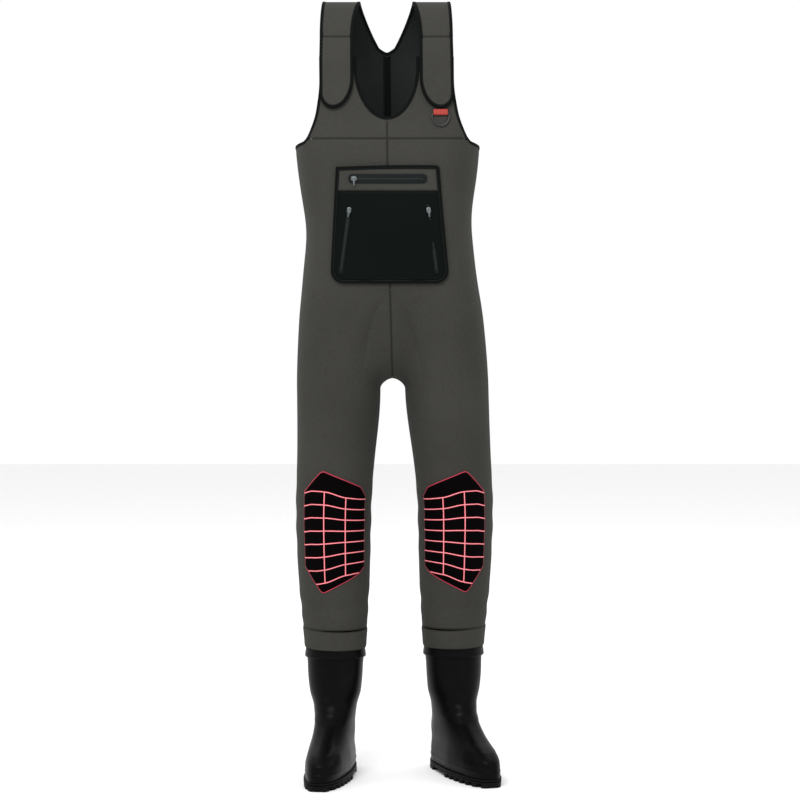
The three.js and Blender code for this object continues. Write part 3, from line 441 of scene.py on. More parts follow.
def effect(
    name: str, takes: dict[str, object], gives: Sequence[str]
) -> tuple[bpy.types.NodeTree, Bench, dict]:
    """Starts a group of nodes that several finishes share.

    Args:
        name: the group's name.
        takes: its inputs and their usual values; a value of None is a vector.
        gives: its outputs, all of them numbers.

    Returns:
        The group, a bench in it, and its inputs by name.
    """
    tree = bpy.data.node_groups.new(name, "ShaderNodeTree")
    for key, value in takes.items():
        kind = "NodeSocketVector" if value is None else "NodeSocketFloat"
        socket = tree.interface.new_socket(name=key, in_out="INPUT", socket_type=kind)
        if value is not None:
            socket.default_value = value
    for key in gives:
        tree.interface.new_socket(name=key, in_out="OUTPUT", socket_type="NodeSocketFloat")
    bench = Bench(tree)
    start = bench.node("NodeGroupInput")
    return tree, bench, {key: start.outputs[key] for key in takes}


class Effects:
    """The shared groups: knit and woven ribs, mottling and stitching."""

    def __init__(self) -> None:
        """Builds each group once."""
        self.knit = self._knit()
        self.mottle = self._mottle()
        self.stitch = self._stitch()

    @staticmethod
    def _knit() -> bpy.types.NodeTree:
        """Loops of a fine jersey, or the ribs of a woven tape when Cross is low."""
        tree, bench, given = effect("knit", {"Cloth": None, "Pitch": 0.0011, "Cross": 1.0}, ("Height",))
        parts = bench.node("SeparateXYZ", {0: given["Cloth"]})
        turns = bench.math("DIVIDE", TURN, given["Pitch"])
        along = bench.math("SINE", bench.math("MULTIPLY", parts.outputs[1], turns))
        sway = bench.math("MULTIPLY", along, bench.math("MULTIPLY", given["Cross"], 1.1))
        across = bench.math("ADD", bench.math("MULTIPLY", parts.outputs[0], turns), sway)
        height = bench.math("MULTIPLY_ADD", bench.math("SINE", across), 0.5, 0.5)
        loop = bench.math("MULTIPLY_ADD", bench.math("MULTIPLY", along, given["Cross"]), 0.25, height)
        bench.node("NodeGroupOutput", {"Height": loop})
        return tree

    @staticmethod
    def _mottle() -> bpy.types.NodeTree:
        """Slow change of tone over the whole piece with a finer one on top of it."""
        takes = {"Place": None, "Scale": 6.0, "Low": 0.85, "High": 1.1}
        tree, bench, given = effect("mottle", takes, ("Tone",))
        broad = bench.node("TexNoise", {"Vector": given["Place"], "Scale": given["Scale"], "Detail": 3.0})
        fine = bench.node(
            "TexNoise",
            {"Vector": given["Place"], "Scale": bench.math("MULTIPLY", given["Scale"], 28.0), "Detail": 2.0},
        )
        slow = bench.math("MULTIPLY", broad.outputs[0], 0.65)
        both = bench.math("MULTIPLY_ADD", fine.outputs[0], 0.35, slow)
        ready = {"Value": both, "From Min": 0.35, "From Max": 0.65}
        ready |= {"To Min": given["Low"], "To Max": given["High"]}
        tone = bench.node("MapRange", ready, clamp=True).outputs["Result"]
        bench.node("NodeGroupOutput", {"Tone": tone})
        return tree

    @staticmethod
    def _stitch() -> bpy.types.NodeTree:
        """A row of stitches beside a sewn edge, and the shade in the seam itself."""
        tree, bench, given = effect(
            "stitch", {"Cloth": None, "Edge": FAR_FROM_SEAM, "Inset": 2.2, "Length": 2.8}, ("Thread", "Seam")
        )
        parts = bench.node("SeparateXYZ", {0: given["Cloth"]})
        along = bench.math("MULTIPLY", bench.math("ADD", parts.outputs[0], parts.outputs[1]), 1000.0)
        share = bench.math("FRACT", bench.math("DIVIDE", along, given["Length"]))
        off = bench.math("ABSOLUTE", bench.math("SUBTRACT", share, 0.5))
        dash = bench.between(off, 0.3, 0.42, (1.0, 0.0))
        away = bench.math("ABSOLUTE", bench.math("SUBTRACT", given["Edge"], given["Inset"]))
        row = bench.between(away, 0.22, 0.5, (1.0, 0.0))
        seam = bench.between(given["Edge"], 0.3, 3.0, (1.0, 0.0))
        bench.node("NodeGroupOutput", {"Thread": bench.math("MULTIPLY", row, dash), "Seam": seam})
        return tree


Colour = tuple[float, float, float]


@dataclass(frozen=True)
class Finish:
    """A surface finish: what every one of them says."""

    name: str
    colour: Colour
    roughness: float = 0.85
    specular: float = 0.3
    sheen: float = 0.0
    metallic: float = 0.0
    coat: float = 0.0

    def start(self) -> tuple[bpy.types.Material, Bench, bpy.types.Node]:
        """A new material with the plain values of its shader set; gives it, a bench and the shader."""
        made = bpy.data.materials.new(self.name)
        made.use_nodes = True
        made.diffuse_color = (*self.colour, 1.0)
        shader = made.node_tree.nodes["Principled BSDF"]
        shader.inputs["Base Color"].default_value = (*self.colour, 1.0)
        shader.inputs["Roughness"].default_value = self.roughness
        shader.inputs["Specular IOR Level"].default_value = self.specular
        shader.inputs["Metallic"].default_value = self.metallic
        shader.inputs["Sheen Weight"].default_value = self.sheen
        shader.inputs["Sheen Roughness"].default_value = 0.45
        shader.inputs["Coat Weight"].default_value = self.coat
        shader.inputs["Coat Roughness"].default_value = 0.25
        return made, Bench(made.node_tree), shader

    def make(self, effects: Effects) -> bpy.types.Material:
        """Builds the material; each kind of finish has its own way."""
        raise NotImplementedError


@dataclass(frozen=True)
class Cloth(Finish):
    """Knitted or woven cloth that follows the piece's cloth map, with a row of stitches by its edges and
    painted shade in the valleys of its knit.
    """

    pitch: float = 0.0011
    cross: float = 1.0
    relief: float = 0.35
    mottle: float = 0.12
    thread: Colour = (0.02, 0.02, 0.018)
    inset: float = 2.2
    seam_shade: float = 0.45

    def make(self, effects: Effects) -> bpy.types.Material:
        """Builds the cloth material."""
        made, bench, shader = self.start()
        cloth = bench.node("UVMap", uv_map="cloth").outputs[0]
        edge = bench.node("Attribute", attribute_name="edge").outputs["Fac"]
        where = bench.node("TexCoord").outputs["Object"]
        knit = bench.node("Group", node_tree=effects.knit)
        bench.tree.links.new(cloth, knit.inputs["Cloth"])
        knit.inputs["Pitch"].default_value = self.pitch
        knit.inputs["Cross"].default_value = self.cross
        mottle = bench.node("Group", node_tree=effects.mottle)
        bench.tree.links.new(where, mottle.inputs["Place"])
        mottle.inputs["Low"].default_value = 1 - self.mottle
        mottle.inputs["High"].default_value = 1 + self.mottle
        stitch = bench.node("Group", node_tree=effects.stitch)
        bench.tree.links.new(cloth, stitch.inputs["Cloth"])
        bench.tree.links.new(edge, stitch.inputs["Edge"])
        stitch.inputs["Inset"].default_value = self.inset
        thread, seam = stitch.outputs["Thread"], stitch.outputs["Seam"]
        # painted shade: the colour is drawn darker in the valleys of the knit
        valley = bench.math("MULTIPLY_ADD", knit.outputs["Height"], 0.14, 0.93)
        tone = bench.math("MULTIPLY", mottle.outputs["Tone"], valley)
        shaded = bench.math("MULTIPLY", tone, bench.math("MULTIPLY_ADD", seam, -self.seam_shade, 1.0))
        base = bench.shade((*self.colour, 1.0), shaded)
        bench.tree.links.new(bench.mix(thread, base, (*self.thread, 1.0)), shader.inputs["Base Color"])
        rough = bench.math("MULTIPLY_ADD", mottle.outputs["Tone"], 0.12, self.roughness - 0.12)
        bench.tree.links.new(rough, shader.inputs["Roughness"])
        height = bench.math("MULTIPLY_ADD", thread, 1.6, knit.outputs["Height"])
        bump = bench.node("Bump", {"Height": height, "Strength": self.relief, "Distance": 0.0003})
        bench.tree.links.new(bump.outputs[0], shader.inputs["Normal"])
        return made


@dataclass(frozen=True)
class Moulded(Finish):
    """Moulded rubber or cast metal: fine grain, scuffs and a slow change of gloss."""

    grain: float = 900.0
    relief: float = 0.15
    scuff: Colour = (0.05, 0.05, 0.05)
    scuffing: float = 0.3

    def make(self, effects: Effects) -> bpy.types.Material:
        """Builds the moulded material."""
        made, bench, shader = self.start()
        where = bench.node("TexCoord").outputs["Object"]
        mottle = bench.node("Group", node_tree=effects.mottle)
        bench.tree.links.new(where, mottle.inputs["Place"])
        mottle.inputs["Scale"].default_value = 9.0
        mottle.inputs["Low"].default_value = 0.0
        mottle.inputs["High"].default_value = 1.0
        grain = bench.node("TexNoise", {"Vector": where, "Scale": self.grain, "Detail": 2.0})
        rub = bench.node("TexNoise", {"Vector": where, "Scale": 34.0, "Detail": 6.0, "Roughness": 0.7})
        worn = bench.between(rub.outputs[0], 0.56, 0.72, (0.0, self.scuffing))
        base = bench.mix(worn, (*self.colour, 1.0), (*self.scuff, 1.0))
        bench.tree.links.new(base, shader.inputs["Base Color"])
        rough = bench.math("MULTIPLY_ADD", mottle.outputs["Tone"], 0.14, self.roughness - 0.07)
        rough = bench.math("ADD", rough, bench.math("MULTIPLY", worn, 0.25))
        bench.tree.links.new(rough, shader.inputs["Roughness"])
        height = bench.math("MULTIPLY_ADD", rub.outputs[0], 0.6, grain.outputs[0])
        bump = bench.node("Bump", {"Height": height, "Strength": self.relief, "Distance": 0.0004})
        bench.tree.links.new(bump.outputs[0], shader.inputs["Normal"])
        return made


@dataclass(frozen=True)
class Print(Finish):
    """A raised rubber print, the top of each line drawn lighter than its edges as a painted highlight."""

    # the colour of the painted highlight along the top of the raised print
    crown_highlight: Colour = (0.9, 0.35, 0.38)

    def make(self, effects: Effects) -> bpy.types.Material:
        """Builds the print material."""
        made, bench, shader = self.start()
        edge = bench.node("Attribute", attribute_name="edge").outputs["Fac"]
        where = bench.node("TexCoord").outputs["Object"]
        mottle = bench.node("Group", node_tree=effects.mottle)
        bench.tree.links.new(where, mottle.inputs["Place"])
        # painted highlight: the middle of each printed line is mixed towards the lighter colour
        lip = bench.between(edge, 0.25, 1.0, (0.0, 1.0))
        far = bench.between(edge, 1.6, 2.4, (1.0, 0.0))
        share = bench.math("MULTIPLY", lip, far)
        base = bench.mix(share, (*self.colour, 1.0), (*self.crown_highlight, 1.0))
        bench.tree.links.new(bench.shade(base, mottle.outputs["Tone"]), shader.inputs["Base Color"])
        grain = bench.node("TexNoise", {"Vector": where, "Scale": 1400.0})
        bump = bench.node("Bump", {"Height": grain.outputs[0], "Strength": 0.1, "Distance": 0.0002})
        bench.tree.links.new(bump.outputs[0], shader.inputs["Normal"])
        return made


@dataclass(frozen=True)
class Backdrop(Finish):
    """Seamless paper with a faint tooth."""

    def make(self, effects: Effects) -> bpy.types.Material:
        """Builds the paper material."""
        made, bench, shader = self.start()
        where = bench.node("TexCoord").outputs["Object"]
        tooth = bench.node("TexNoise", {"Vector": where, "Scale": 60.0, "Detail": 3.0})
        tone = bench.between(tooth.outputs[0], 0.3, 0.7, (0.985, 1.0))
        bench.tree.links.new(bench.shade((*self.colour, 1.0), tone), shader.inputs["Base Color"])
        return made


class Palette:
    """Every finish of the garment, made once."""

    def __init__(self) -> None:
        """Builds the shared effects and then each material."""
        effects = Effects()
        self.neoprene = Cloth(
            "olive_neoprene", (0.0332, 0.0326, 0.0286), sheen=0.03, specular=0.06
        ).make(effects)
        self.lining = Cloth(
            "black_lining", (0.012, 0.013, 0.013), pitch=0.0014, sheen=0.03, specular=0.06,
            thread=(0.006, 0.006, 0.006),
        ).make(effects)
        self.foam = Moulded(
            "cut_foam", (0.006, 0.006, 0.006), 0.95, 0.03, grain=1500.0, relief=0.4
        ).make(effects)
        self.binding = Cloth(
            "bias_binding", (0.0030, 0.0040, 0.0035), pitch=0.0009, cross=0.35, relief=0.5,
            sheen=0.0, specular=0.03, thread=(0.016, 0.018, 0.017), inset=1.6, seam_shade=0.2, roughness=0.8,
        ).make(effects)
        self.pocket = Cloth(
            "pocket_cloth", (0.0028, 0.0042, 0.0038), pitch=0.0012, cross=0.6, relief=0.45,
            sheen=0.0, specular=0.03, thread=(0.012, 0.014, 0.014), roughness=0.75,
        ).make(effects)
        self.knee = Cloth(
            "knee_pad_cloth", (0.0012, 0.0008, 0.0010), pitch=0.0010, relief=0.5, sheen=0.0, mottle=0.2,
            thread=(0.002, 0.002, 0.002), roughness=0.8, specular=0.02,
        ).make(effects)
        # the lighter colours of the print and border are painted highlights along their tops
        self.grid = Print("knee_print", (0.55, 0.035, 0.06), 0.55, crown_highlight=(0.80, 0.27, 0.30)).make(effects)
        self.border = Print("knee_border", (0.26, 0.010, 0.022), 0.6, crown_highlight=(0.42, 0.03, 0.06)).make(effects)
        self.webbing = Cloth(
            "red_webbing", (0.28, 0.033, 0.025), pitch=0.0016, cross=0.3, relief=0.7, mottle=0.1,
            thread=(0.5, 0.05, 0.04), inset=2.0, seam_shade=0.25,
        ).make(effects)
        self.tape = Cloth(
            "zip_tape", (0.0035, 0.0055, 0.0053), pitch=0.0010, cross=0.2, relief=0.5,
            roughness=0.6, specular=0.1, thread=(0.01, 0.012, 0.012),
        ).make(effects)
        self.coil = Moulded("zip_teeth", (0.010, 0.014, 0.014), 0.38, 0.45, scuffing=0.1).make(effects)
        self.metal = Moulded(
            "dark_nickel", (0.11, 0.125, 0.13), 0.34, 0.5, metallic=0.85, scuff=(0.35, 0.36, 0.36)
        ).make(effects)
        self.ring = Moulded(
            "black_nickel", (0.030, 0.032, 0.034), 0.3, 0.5, metallic=0.7, scuff=(0.22, 0.22, 0.22)
        ).make(effects)
        self.rubber = Moulded(
            "boot_rubber", (0.0016, 0.0017, 0.0017), 0.36, 0.05, scuff=(0.007, 0.007, 0.007), scuffing=0.35
        ).make(effects)
        self.sole = Moulded(
            "sole_rubber", (0.0030, 0.0031, 0.0031), 0.62, 0.08, relief=0.3, scuff=(0.02, 0.02, 0.019)
        ).make(effects)
        self.velour = Moulded(
            "velour", (0.005, 0.006, 0.006), 0.98, 0.03, sheen=0.05, relief=0.9
        ).make(effects)
        self.paper = Backdrop("paper", (0.90, 0.90, 0.90), 0.9, 0.1).make(effects)


# ------------------------------------------------------------------------------------------ surfaces
@dataclass
class BodyForm:
    """The form that the bib and straps lie on. A place on it is an angle round the body and a run.

    The run is below 0 up the front, 0 to the arch's length over the shoulder, and above it down the back.
    """

    inseam: float = 781.0
    shoulder_rise: float = 120.0
    shoulder_front: float = 88.0
    shoulder_back: float = 85.0
    flat_share: float = 0.6
    roundness: float = 2.2
    top: float = 1520.0
    half: Profile = Profile((781, 190), (880, 183), (1066, 164), (1230, 180), (1400, 188))
    front: Profile = Profile((760, 94), (864, 104), (968, 112), (1193, 112), (1400, 88))
    back: Profile = Profile((760, 92), (876.25, 114), (1066, 92), (1230, 100), (1400, 85))
    centre: Profile = Profile((500, 16), (781, 12), (1066, 5), (1247, 2), (1520, 0))
    armhole: Profile = Profile((1230, 180), (1238, 160), (1254, 148), (1301, 131), (1360, 124), (1400, 124))

    @property
    def spring(self) -> float:
        """Height at which the arch over the shoulder starts."""
        return self.top - self.shoulder_rise

    @property
    def arch(self) -> float:
        """Length of the arch over the shoulder."""
        return math.pi * math.hypot(self.shoulder_rise, self.shoulder_front) * math.sqrt(0.5)

    def section(self, share: float) -> float:
        """Share of the full depth at a share of the half width."""
        past = max(0.0, (min(1.0, abs(share)) - self.flat_share) / (1 - self.flat_share))
        return (1 - past**self.roundness) ** (1 / self.roundness)

    def front_run(self, height: float) -> float:
        """The run of a height on the front."""
        return height - self.spring

    def back_run(self, height: float) -> float:
        """The run of a height on the back."""
        return self.arch + self.spring - height

    def arch_run(self, rise: float) -> float:
        """The run at a rise above the foot of the arch, on its front half."""
        return math.asin(rise / self.shoulder_rise) / math.pi * self.arch

    def height(self, run: float) -> float:
        """The height at a run."""
        if run < 0:
            return self.spring + run
        if run > self.arch:
            return self.spring - (run - self.arch)
        return self.spring + self.shoulder_rise * math.sin(math.pi * run / self.arch)

    def depth(self, run: float) -> float:
        """The depth at a run, in the middle of the body."""
        if run < 0:
            return -self.front(self.spring + run)
        if run > self.arch:
            return self.back(self.spring - (run - self.arch))
        level = math.cos(math.pi * run / self.arch)
        return -self.shoulder_front * level if level > 0 else -self.shoulder_back * level

    def bare(self, angle: float, run: float) -> Vector:
        """The form's own point, in metres."""
        height = self.height(run)
        share = math.sin(angle)
        x = self.centre(height) + self.half(height) * share
        return place(x, self.depth(run) * self.section(share) * math.copysign(1, math.cos(angle)), height)

    def normal(self, angle: float, run: float) -> Vector:
        """The direction out of the form."""
        across = self.bare(angle + 0.01, run) - self.bare(angle - 0.01, run)
        along = self.bare(angle, run + 0.5) - self.bare(angle, run - 0.5)
        return across.cross(along).normalized()

    def ripple(self, point: Vector) -> float:
        """How far the worn cloth stands off or sinks at a place, in millimetres."""
        x, height = point.x / MM, (point.z - SOLES) / MM
        fade = smooth((1490 - height) / 60) * smooth((height - 640) / 60)
        waist = math.exp(-(((height - 1060) / 130) ** 2))
        soft = 0.7 * math.sin(height / 41 + x / 63) + 0.5 * math.sin(x / 33 - height / 87)
        return fade * (soft * (0.35 + 0.65 * abs(x) / 180) + waist * 0.9 * math.sin(height / 24 + x / 70))

    def point(self, angle: float, run: float, lift: float = 0.0) -> Vector:
        """A point on the worn cloth, moved out by a lift in millimetres."""
        bare = self.bare(angle, run)
        return bare + self.normal(angle, run) * ((lift + self.ripple(bare)) * MM)

    def angle(self, x: float, run: float) -> float:
        """The angle round the body at a distance from its middle."""
        return math.asin(clamp(x / self.half(self.height(run)), -1, 1))

    def on(self, x: float, run: float, lift: float = 0.0) -> Vector:
        """A point on the worn cloth at a distance from the body's middle."""
        return self.point(self.angle(x, run), run, lift)

    def stand(self, x: float, height: float, lift: float, turn: float = 0.0) -> Matrix:
        """Axes that stand on the form: X across, Z up the front and -Y out of it.

        Args:
            x: distance from the body's middle.
            height: height above the soles.
            lift: distance off the form.
            turn: turn about the axis out of the form, in radians.

        Returns:
            The matrix from those axes, in metres, to the frame.
        """
        run = self.front_run(height)
        angle = self.angle(x, run)
        normal = self.normal(angle, run)
        up = (Vector((0, 0, 1)) - normal * normal.z).normalized()
        across = up.cross(normal).normalized()
        axes = Matrix((across, -normal, up)).transposed().to_4x4() @ Matrix.Rotation(turn, 4, "Y")
        axes.translation = self.bare(angle, run) + normal * (lift * MM)
        return axes

    def inside(self, point: Vector) -> Vector:
        """The nearest point of the body's own axis, which turns over with the shoulder."""
        top = place(0, 0, self.spring).z
        x = self.centre((point.z - SOLES) / MM) * MM if point.z < top else point.x
        return Vector((x, 0, min(point.z, top)))

    def arc(self, x: float, height: float) -> float:
        """Distance round the body from a place to the side seam."""
        return math.acos(clamp(abs(x) / self.half(height))) * self.front(height)

    def down_front(self, run: float) -> float:
        """Share of the way from the top of the shoulder down the front to the strap's seam."""
        return smooth((self.arch / 2 - run) / (self.arch / 2 - self.strap_seam))

    def strap_outer(self, run: float) -> float:
        """Outer edge of a strap over the shoulder."""
        if run < self.arch / 2:
            return lerp(119, 122.7, self.down_front(run))
        return lerp(119, 124, smooth(run / (self.arch / 2) - 1))

    def strap_inner(self, run: float) -> float:
        """Inner edge of a strap over the shoulder."""
        return lerp(57, 70.3, self.down_front(run))

    @property
    def strap_seam(self) -> float:
        """The run where the back's strap ends and the flap starts."""
        return self.arch_run(45)

    @property
    def back_neck(self) -> float:
        """The run of the level bottom of the back neck."""
        return self.arch - self.arch_run(23)

    def back_inner(self, run: float) -> float:
        """Inner edge of the back and its strap, with a rounded corner beside the level bottom."""
        if run >= self.back_neck:
            return 0.15
        up = (self.back_neck - run) / (self.back_neck - self.arch / 2)
        if up >= 1:
            return self.strap_inner(run)
        corner = math.sqrt(min(1.0, up / 0.07))
        return 0.15 + 14 * corner + 43 * (1 - (1 - up) ** 2.2)

    def back_outer(self, run: float) -> float:
        """Outer edge of the back: the side seam, the armhole and then the strap."""
        if run <= self.arch:
            return self.strap_outer(run)
        height = self.height(run)
        return self.half(height) if height <= 1230 else self.armhole(height)

    def hip_height(self, forward: float) -> float:
        """Height of the hip line at a share of the depth, -1 at the back and 1 at the front."""
        return lerp(813, 956, (1 + forward) / 2)

    @staticmethod
    def neckline(t: float) -> tuple[float, float]:
        """Half width and height of the front neckline at a share of its sweep."""
        sweep = t * math.pi / 2
        return 64 * math.sin(sweep), 1283 + 106 * (1 - math.cos(sweep))


@dataclass
class LegForm:
    """One leg of the garment."""

    side: Side
    body: BodyForm
    stance: float = 18.0
    offset: Profile = Profile((250, 117), (500, 121), (760, 107))
    half: Profile = Profile((250, 59.5), (310, 64.5), (400, 71), (500, 74), (600, 76), (760, 82.5))
    depth: Profile = Profile((250, 63), (310, 69), (400, 76), (500, 80), (600, 84), (760, 95))

    def middle(self, height: float) -> tuple[float, float]:
        """Where the leg's middle is at a height, across and in depth."""
        y = self.side.value * self.stance * smooth(1 - height / self.body.inseam)
        return self.body.centre(height) + self.side.value * self.offset(height), y

    def ripple(self, angle: float, height: float) -> float:
        """Soft folds across the leg: at the back of the knee, above the cuff and below the crotch."""
        behind = 0.5 - 0.5 * math.cos(angle)
        knee = 1.6 * behind * math.exp(-(((height - 505) / 70) ** 2))
        knee *= math.sin(height / 9.5 + 0.8 * math.sin(angle))
        hem = 0.9 * math.exp(-(((height - 335) / 36) ** 2))
        hem *= math.sin(height / 8 + 1.3 * math.cos(angle - 0.6))
        slow = 0.6 * math.sin(height / 52 + angle) * (0.4 + 0.6 * behind)
        return (knee + hem + slow) * smooth((height - 292) / 25)

    def point(self, angle: float, height: float, lift: float = 0.0) -> Vector:
        """A point on the leg, angle 0 straight ahead and positive outwards."""
        x, y = self.middle(height)
        lift += self.ripple(angle, height)
        turn = angle * self.side.value
        half, depth = self.half(height) + lift, self.depth(height) + lift
        return place(x + half * math.sin(turn), y - depth * math.cos(turn), height)

    def normal(self, angle: float, height: float) -> Vector:
        """The direction out of the leg, level but for its taper."""
        across = self.point(angle + 0.01, height) - self.point(angle - 0.01, height)
        along = self.point(angle, height + 0.5) - self.point(angle, height - 0.5)
        return (across.cross(along) * self.side.value).normalized()

    def inside(self, point: Vector) -> Vector:
        """The leg's axis beside a point."""
        x, y = self.middle((point.z - SOLES) / MM)
        return Vector((x * MM, y * MM, point.z))


@dataclass
class BootForm:
    """One rubber boot, in its own axes: Z above the soles and -Y ahead of the ankle."""

    side: Side
    leg: LegForm
    length_front: float = 207.0
    length_back: float = 73.0
    ball: float = 44.0
    toe_square: float = 2.5
    heel_square: float = 2.3
    sole: float = 16.0
    front: Profile = Profile(
        (16, 207), (45, 204), (62, 183), (78, 140), (95, 106), (118, 76), (150, 61), (250, 57)
    )
    back: Profile = Profile((16, 73), (50, 73), (110, 60), (250, 57))
    half: Profile = Profile(
        (16, 42), (35, 44), (69, 40), (95, 37.5), (132, 41.5), (165, 49.5), (232, 56), (250, 54)
    )

    @property
    def axes(self) -> Matrix:
        """The boot's axes in the frame: at the cuff's middle, with the toes turned out."""
        x, y = self.leg.middle(250)
        yaw = math.radians(20 if self.side is Side.LEFT else 8) * self.side.value
        return Matrix.Translation(place(x, y, 0)) @ Matrix.Rotation(yaw, 4, "Z")

    def shape(self, height: float, length: float) -> float:
        """Detail that the mould gives the boot: toe cap, mudguard, heel counter and creases."""
        toe = 1.1 * smooth((-length - 142 + 0.25 * (height - 16)) / 4) * smooth((66 - height) / 3)
        guard = 1.3 * smooth((33 - height) / 3)
        heel = 1.0 * smooth((length - 22 - 0.35 * (height - 60)) / 4) * smooth((112 - height) / 4)
        flex = math.exp(-(((height - 118) / 20) ** 2)) * math.sin(height / 3.4) * 0.9
        flex *= smooth((-length - 20) / 40)
        slack = math.sin(height / 21 + length / 40) * smooth((height - 130) / 40)
        slack *= smooth((235 - height) / 20)
        return toe + guard + heel + flex + slack

    def point(self, angle: float, height: float, inset: float = 0.0, moulded: bool = True) -> Vector:
        """A point of the boot's wall in its own axes, in metres.

        Args:
            angle: 0 straight ahead, positive towards +X.
            height: height above the soles.
            inset: how far it is drawn in.
            moulded: whether the mould's own detail is added.

        Returns:
            The point.
        """
        ahead = math.cos(angle) > 0
        square = lerp(2, self.toe_square if ahead else self.heel_square, smooth((150 - height) / 70))
        forward = abs(math.cos(angle)) ** (2 / square)
        sideways = math.copysign(abs(math.sin(angle)) ** (2 / square), math.sin(angle))
        reach = (self.front(height) if ahead else self.back(height)) - inset
        y = (-1 if ahead else 1) * reach * forward
        low = smooth((95 - height) / 40)
        heelward = clamp((y + 70) / (self.length_back + 70))
        x = (self.half(height) - inset) * sideways * (1 - 0.24 * low * heelward)
        out = Vector((x, y, 0)).normalized() if moulded else Vector()
        grown = self.shape(height, y) if moulded else 0.0
        return Vector((x + out.x * grown, y + out.y * grown, height)) * MM

    def outline(self, angle: float, proud: float, height: float) -> Vector:
        """A point of the sole's outline in the boot's axes, in metres."""
        ahead = math.cos(angle) > 0
        square = self.toe_square if ahead else self.heel_square
        reach = (self.length_front if ahead else self.length_back) + proud
        y = (-1 if ahead else 1) * reach * abs(math.cos(angle)) ** (2 / square)
        heelward = clamp((y + 70) / (self.length_back + 70))
        x = (self.ball + proud) * math.copysign(abs(math.sin(angle)) ** (2 / square), math.sin(angle))
        return Vector((x * (1 - 0.24 * heelward), y, height)) * MM

    def half_at(self, length: float, proud: float) -> float:
        """Half width of the sole at a distance behind the ankle, in millimetres."""
        ahead = length < 0
        reach = (self.length_front if ahead else self.length_back) + proud
        square = self.toe_square if ahead else self.heel_square
        share = min(1.0, abs(length) / reach)
        heelward = clamp((length + 70) / (self.length_back + 70))
        return (self.ball + proud) * (1 - share**square) ** (1 / square) * (1 - 0.24 * heelward)


# ------------------------------------------------------------------------------------------ assemblies
@dataclass
class Assembly:
    """A sub-assembly: it builds its pieces and keeps a list of them."""

    palette: Palette
    pieces: list[bpy.types.Object] = field(default_factory=list, init=False)

    def keep(
        self,
        piece: bpy.types.Object,
        body: str,
        nodes: Iterable[str],
        slot: str,
        bends: Optional[tuple[str, Vector, Vector]] = None,
    ) -> bpy.types.Object:
        """Ties a finished piece to the frame.

        Args:
            piece: the piece.
            body: the CAD body that it rides on; for a piece that bends, only named in the log.
            nodes: the CAD nodes that it stands for.
            slot: the record's material slot; not used.
            bends: the second body with the points where the bend starts and ends, for a piece that bends;
                such a piece is only baked into the frame.

        Returns:
            The piece.
        """
        if bends:
            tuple(bends[1])
            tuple(bends[2])
            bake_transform(piece)
        else:
            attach(piece, body)
        for node in nodes:
            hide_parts(node)
        self.pieces.append(piece)
        log.info("%s rides on %s, %d faces", piece.name, body, len(piece.data.polygons))
        return piece

    @staticmethod
    def cut(
        piece: bpy.types.Object, flat: tuple[float, float], area: float, held: str, on: Sequence[str]
    ) -> None:
        """Takes a cloth piece, the area of its own mesh and a rectangle that holds it, and does nothing with
        them.
        """


def cloth_area(work: Workpiece) -> float:
    """Area of a patch before it has a wall, in square metres, taken for that of its flat cut."""
    work.bm.normal_update()
    return sum(f.calc_area() for f in work.bm.faces)


def fit_flat(area: float, width: float, length: float) -> tuple[float, float]:
    """The given rectangle, enlarged where it would hold less than the area."""
    grow = max(1.0, math.sqrt(area * 1.02 / (width * length)))
    return width * grow, length * grow


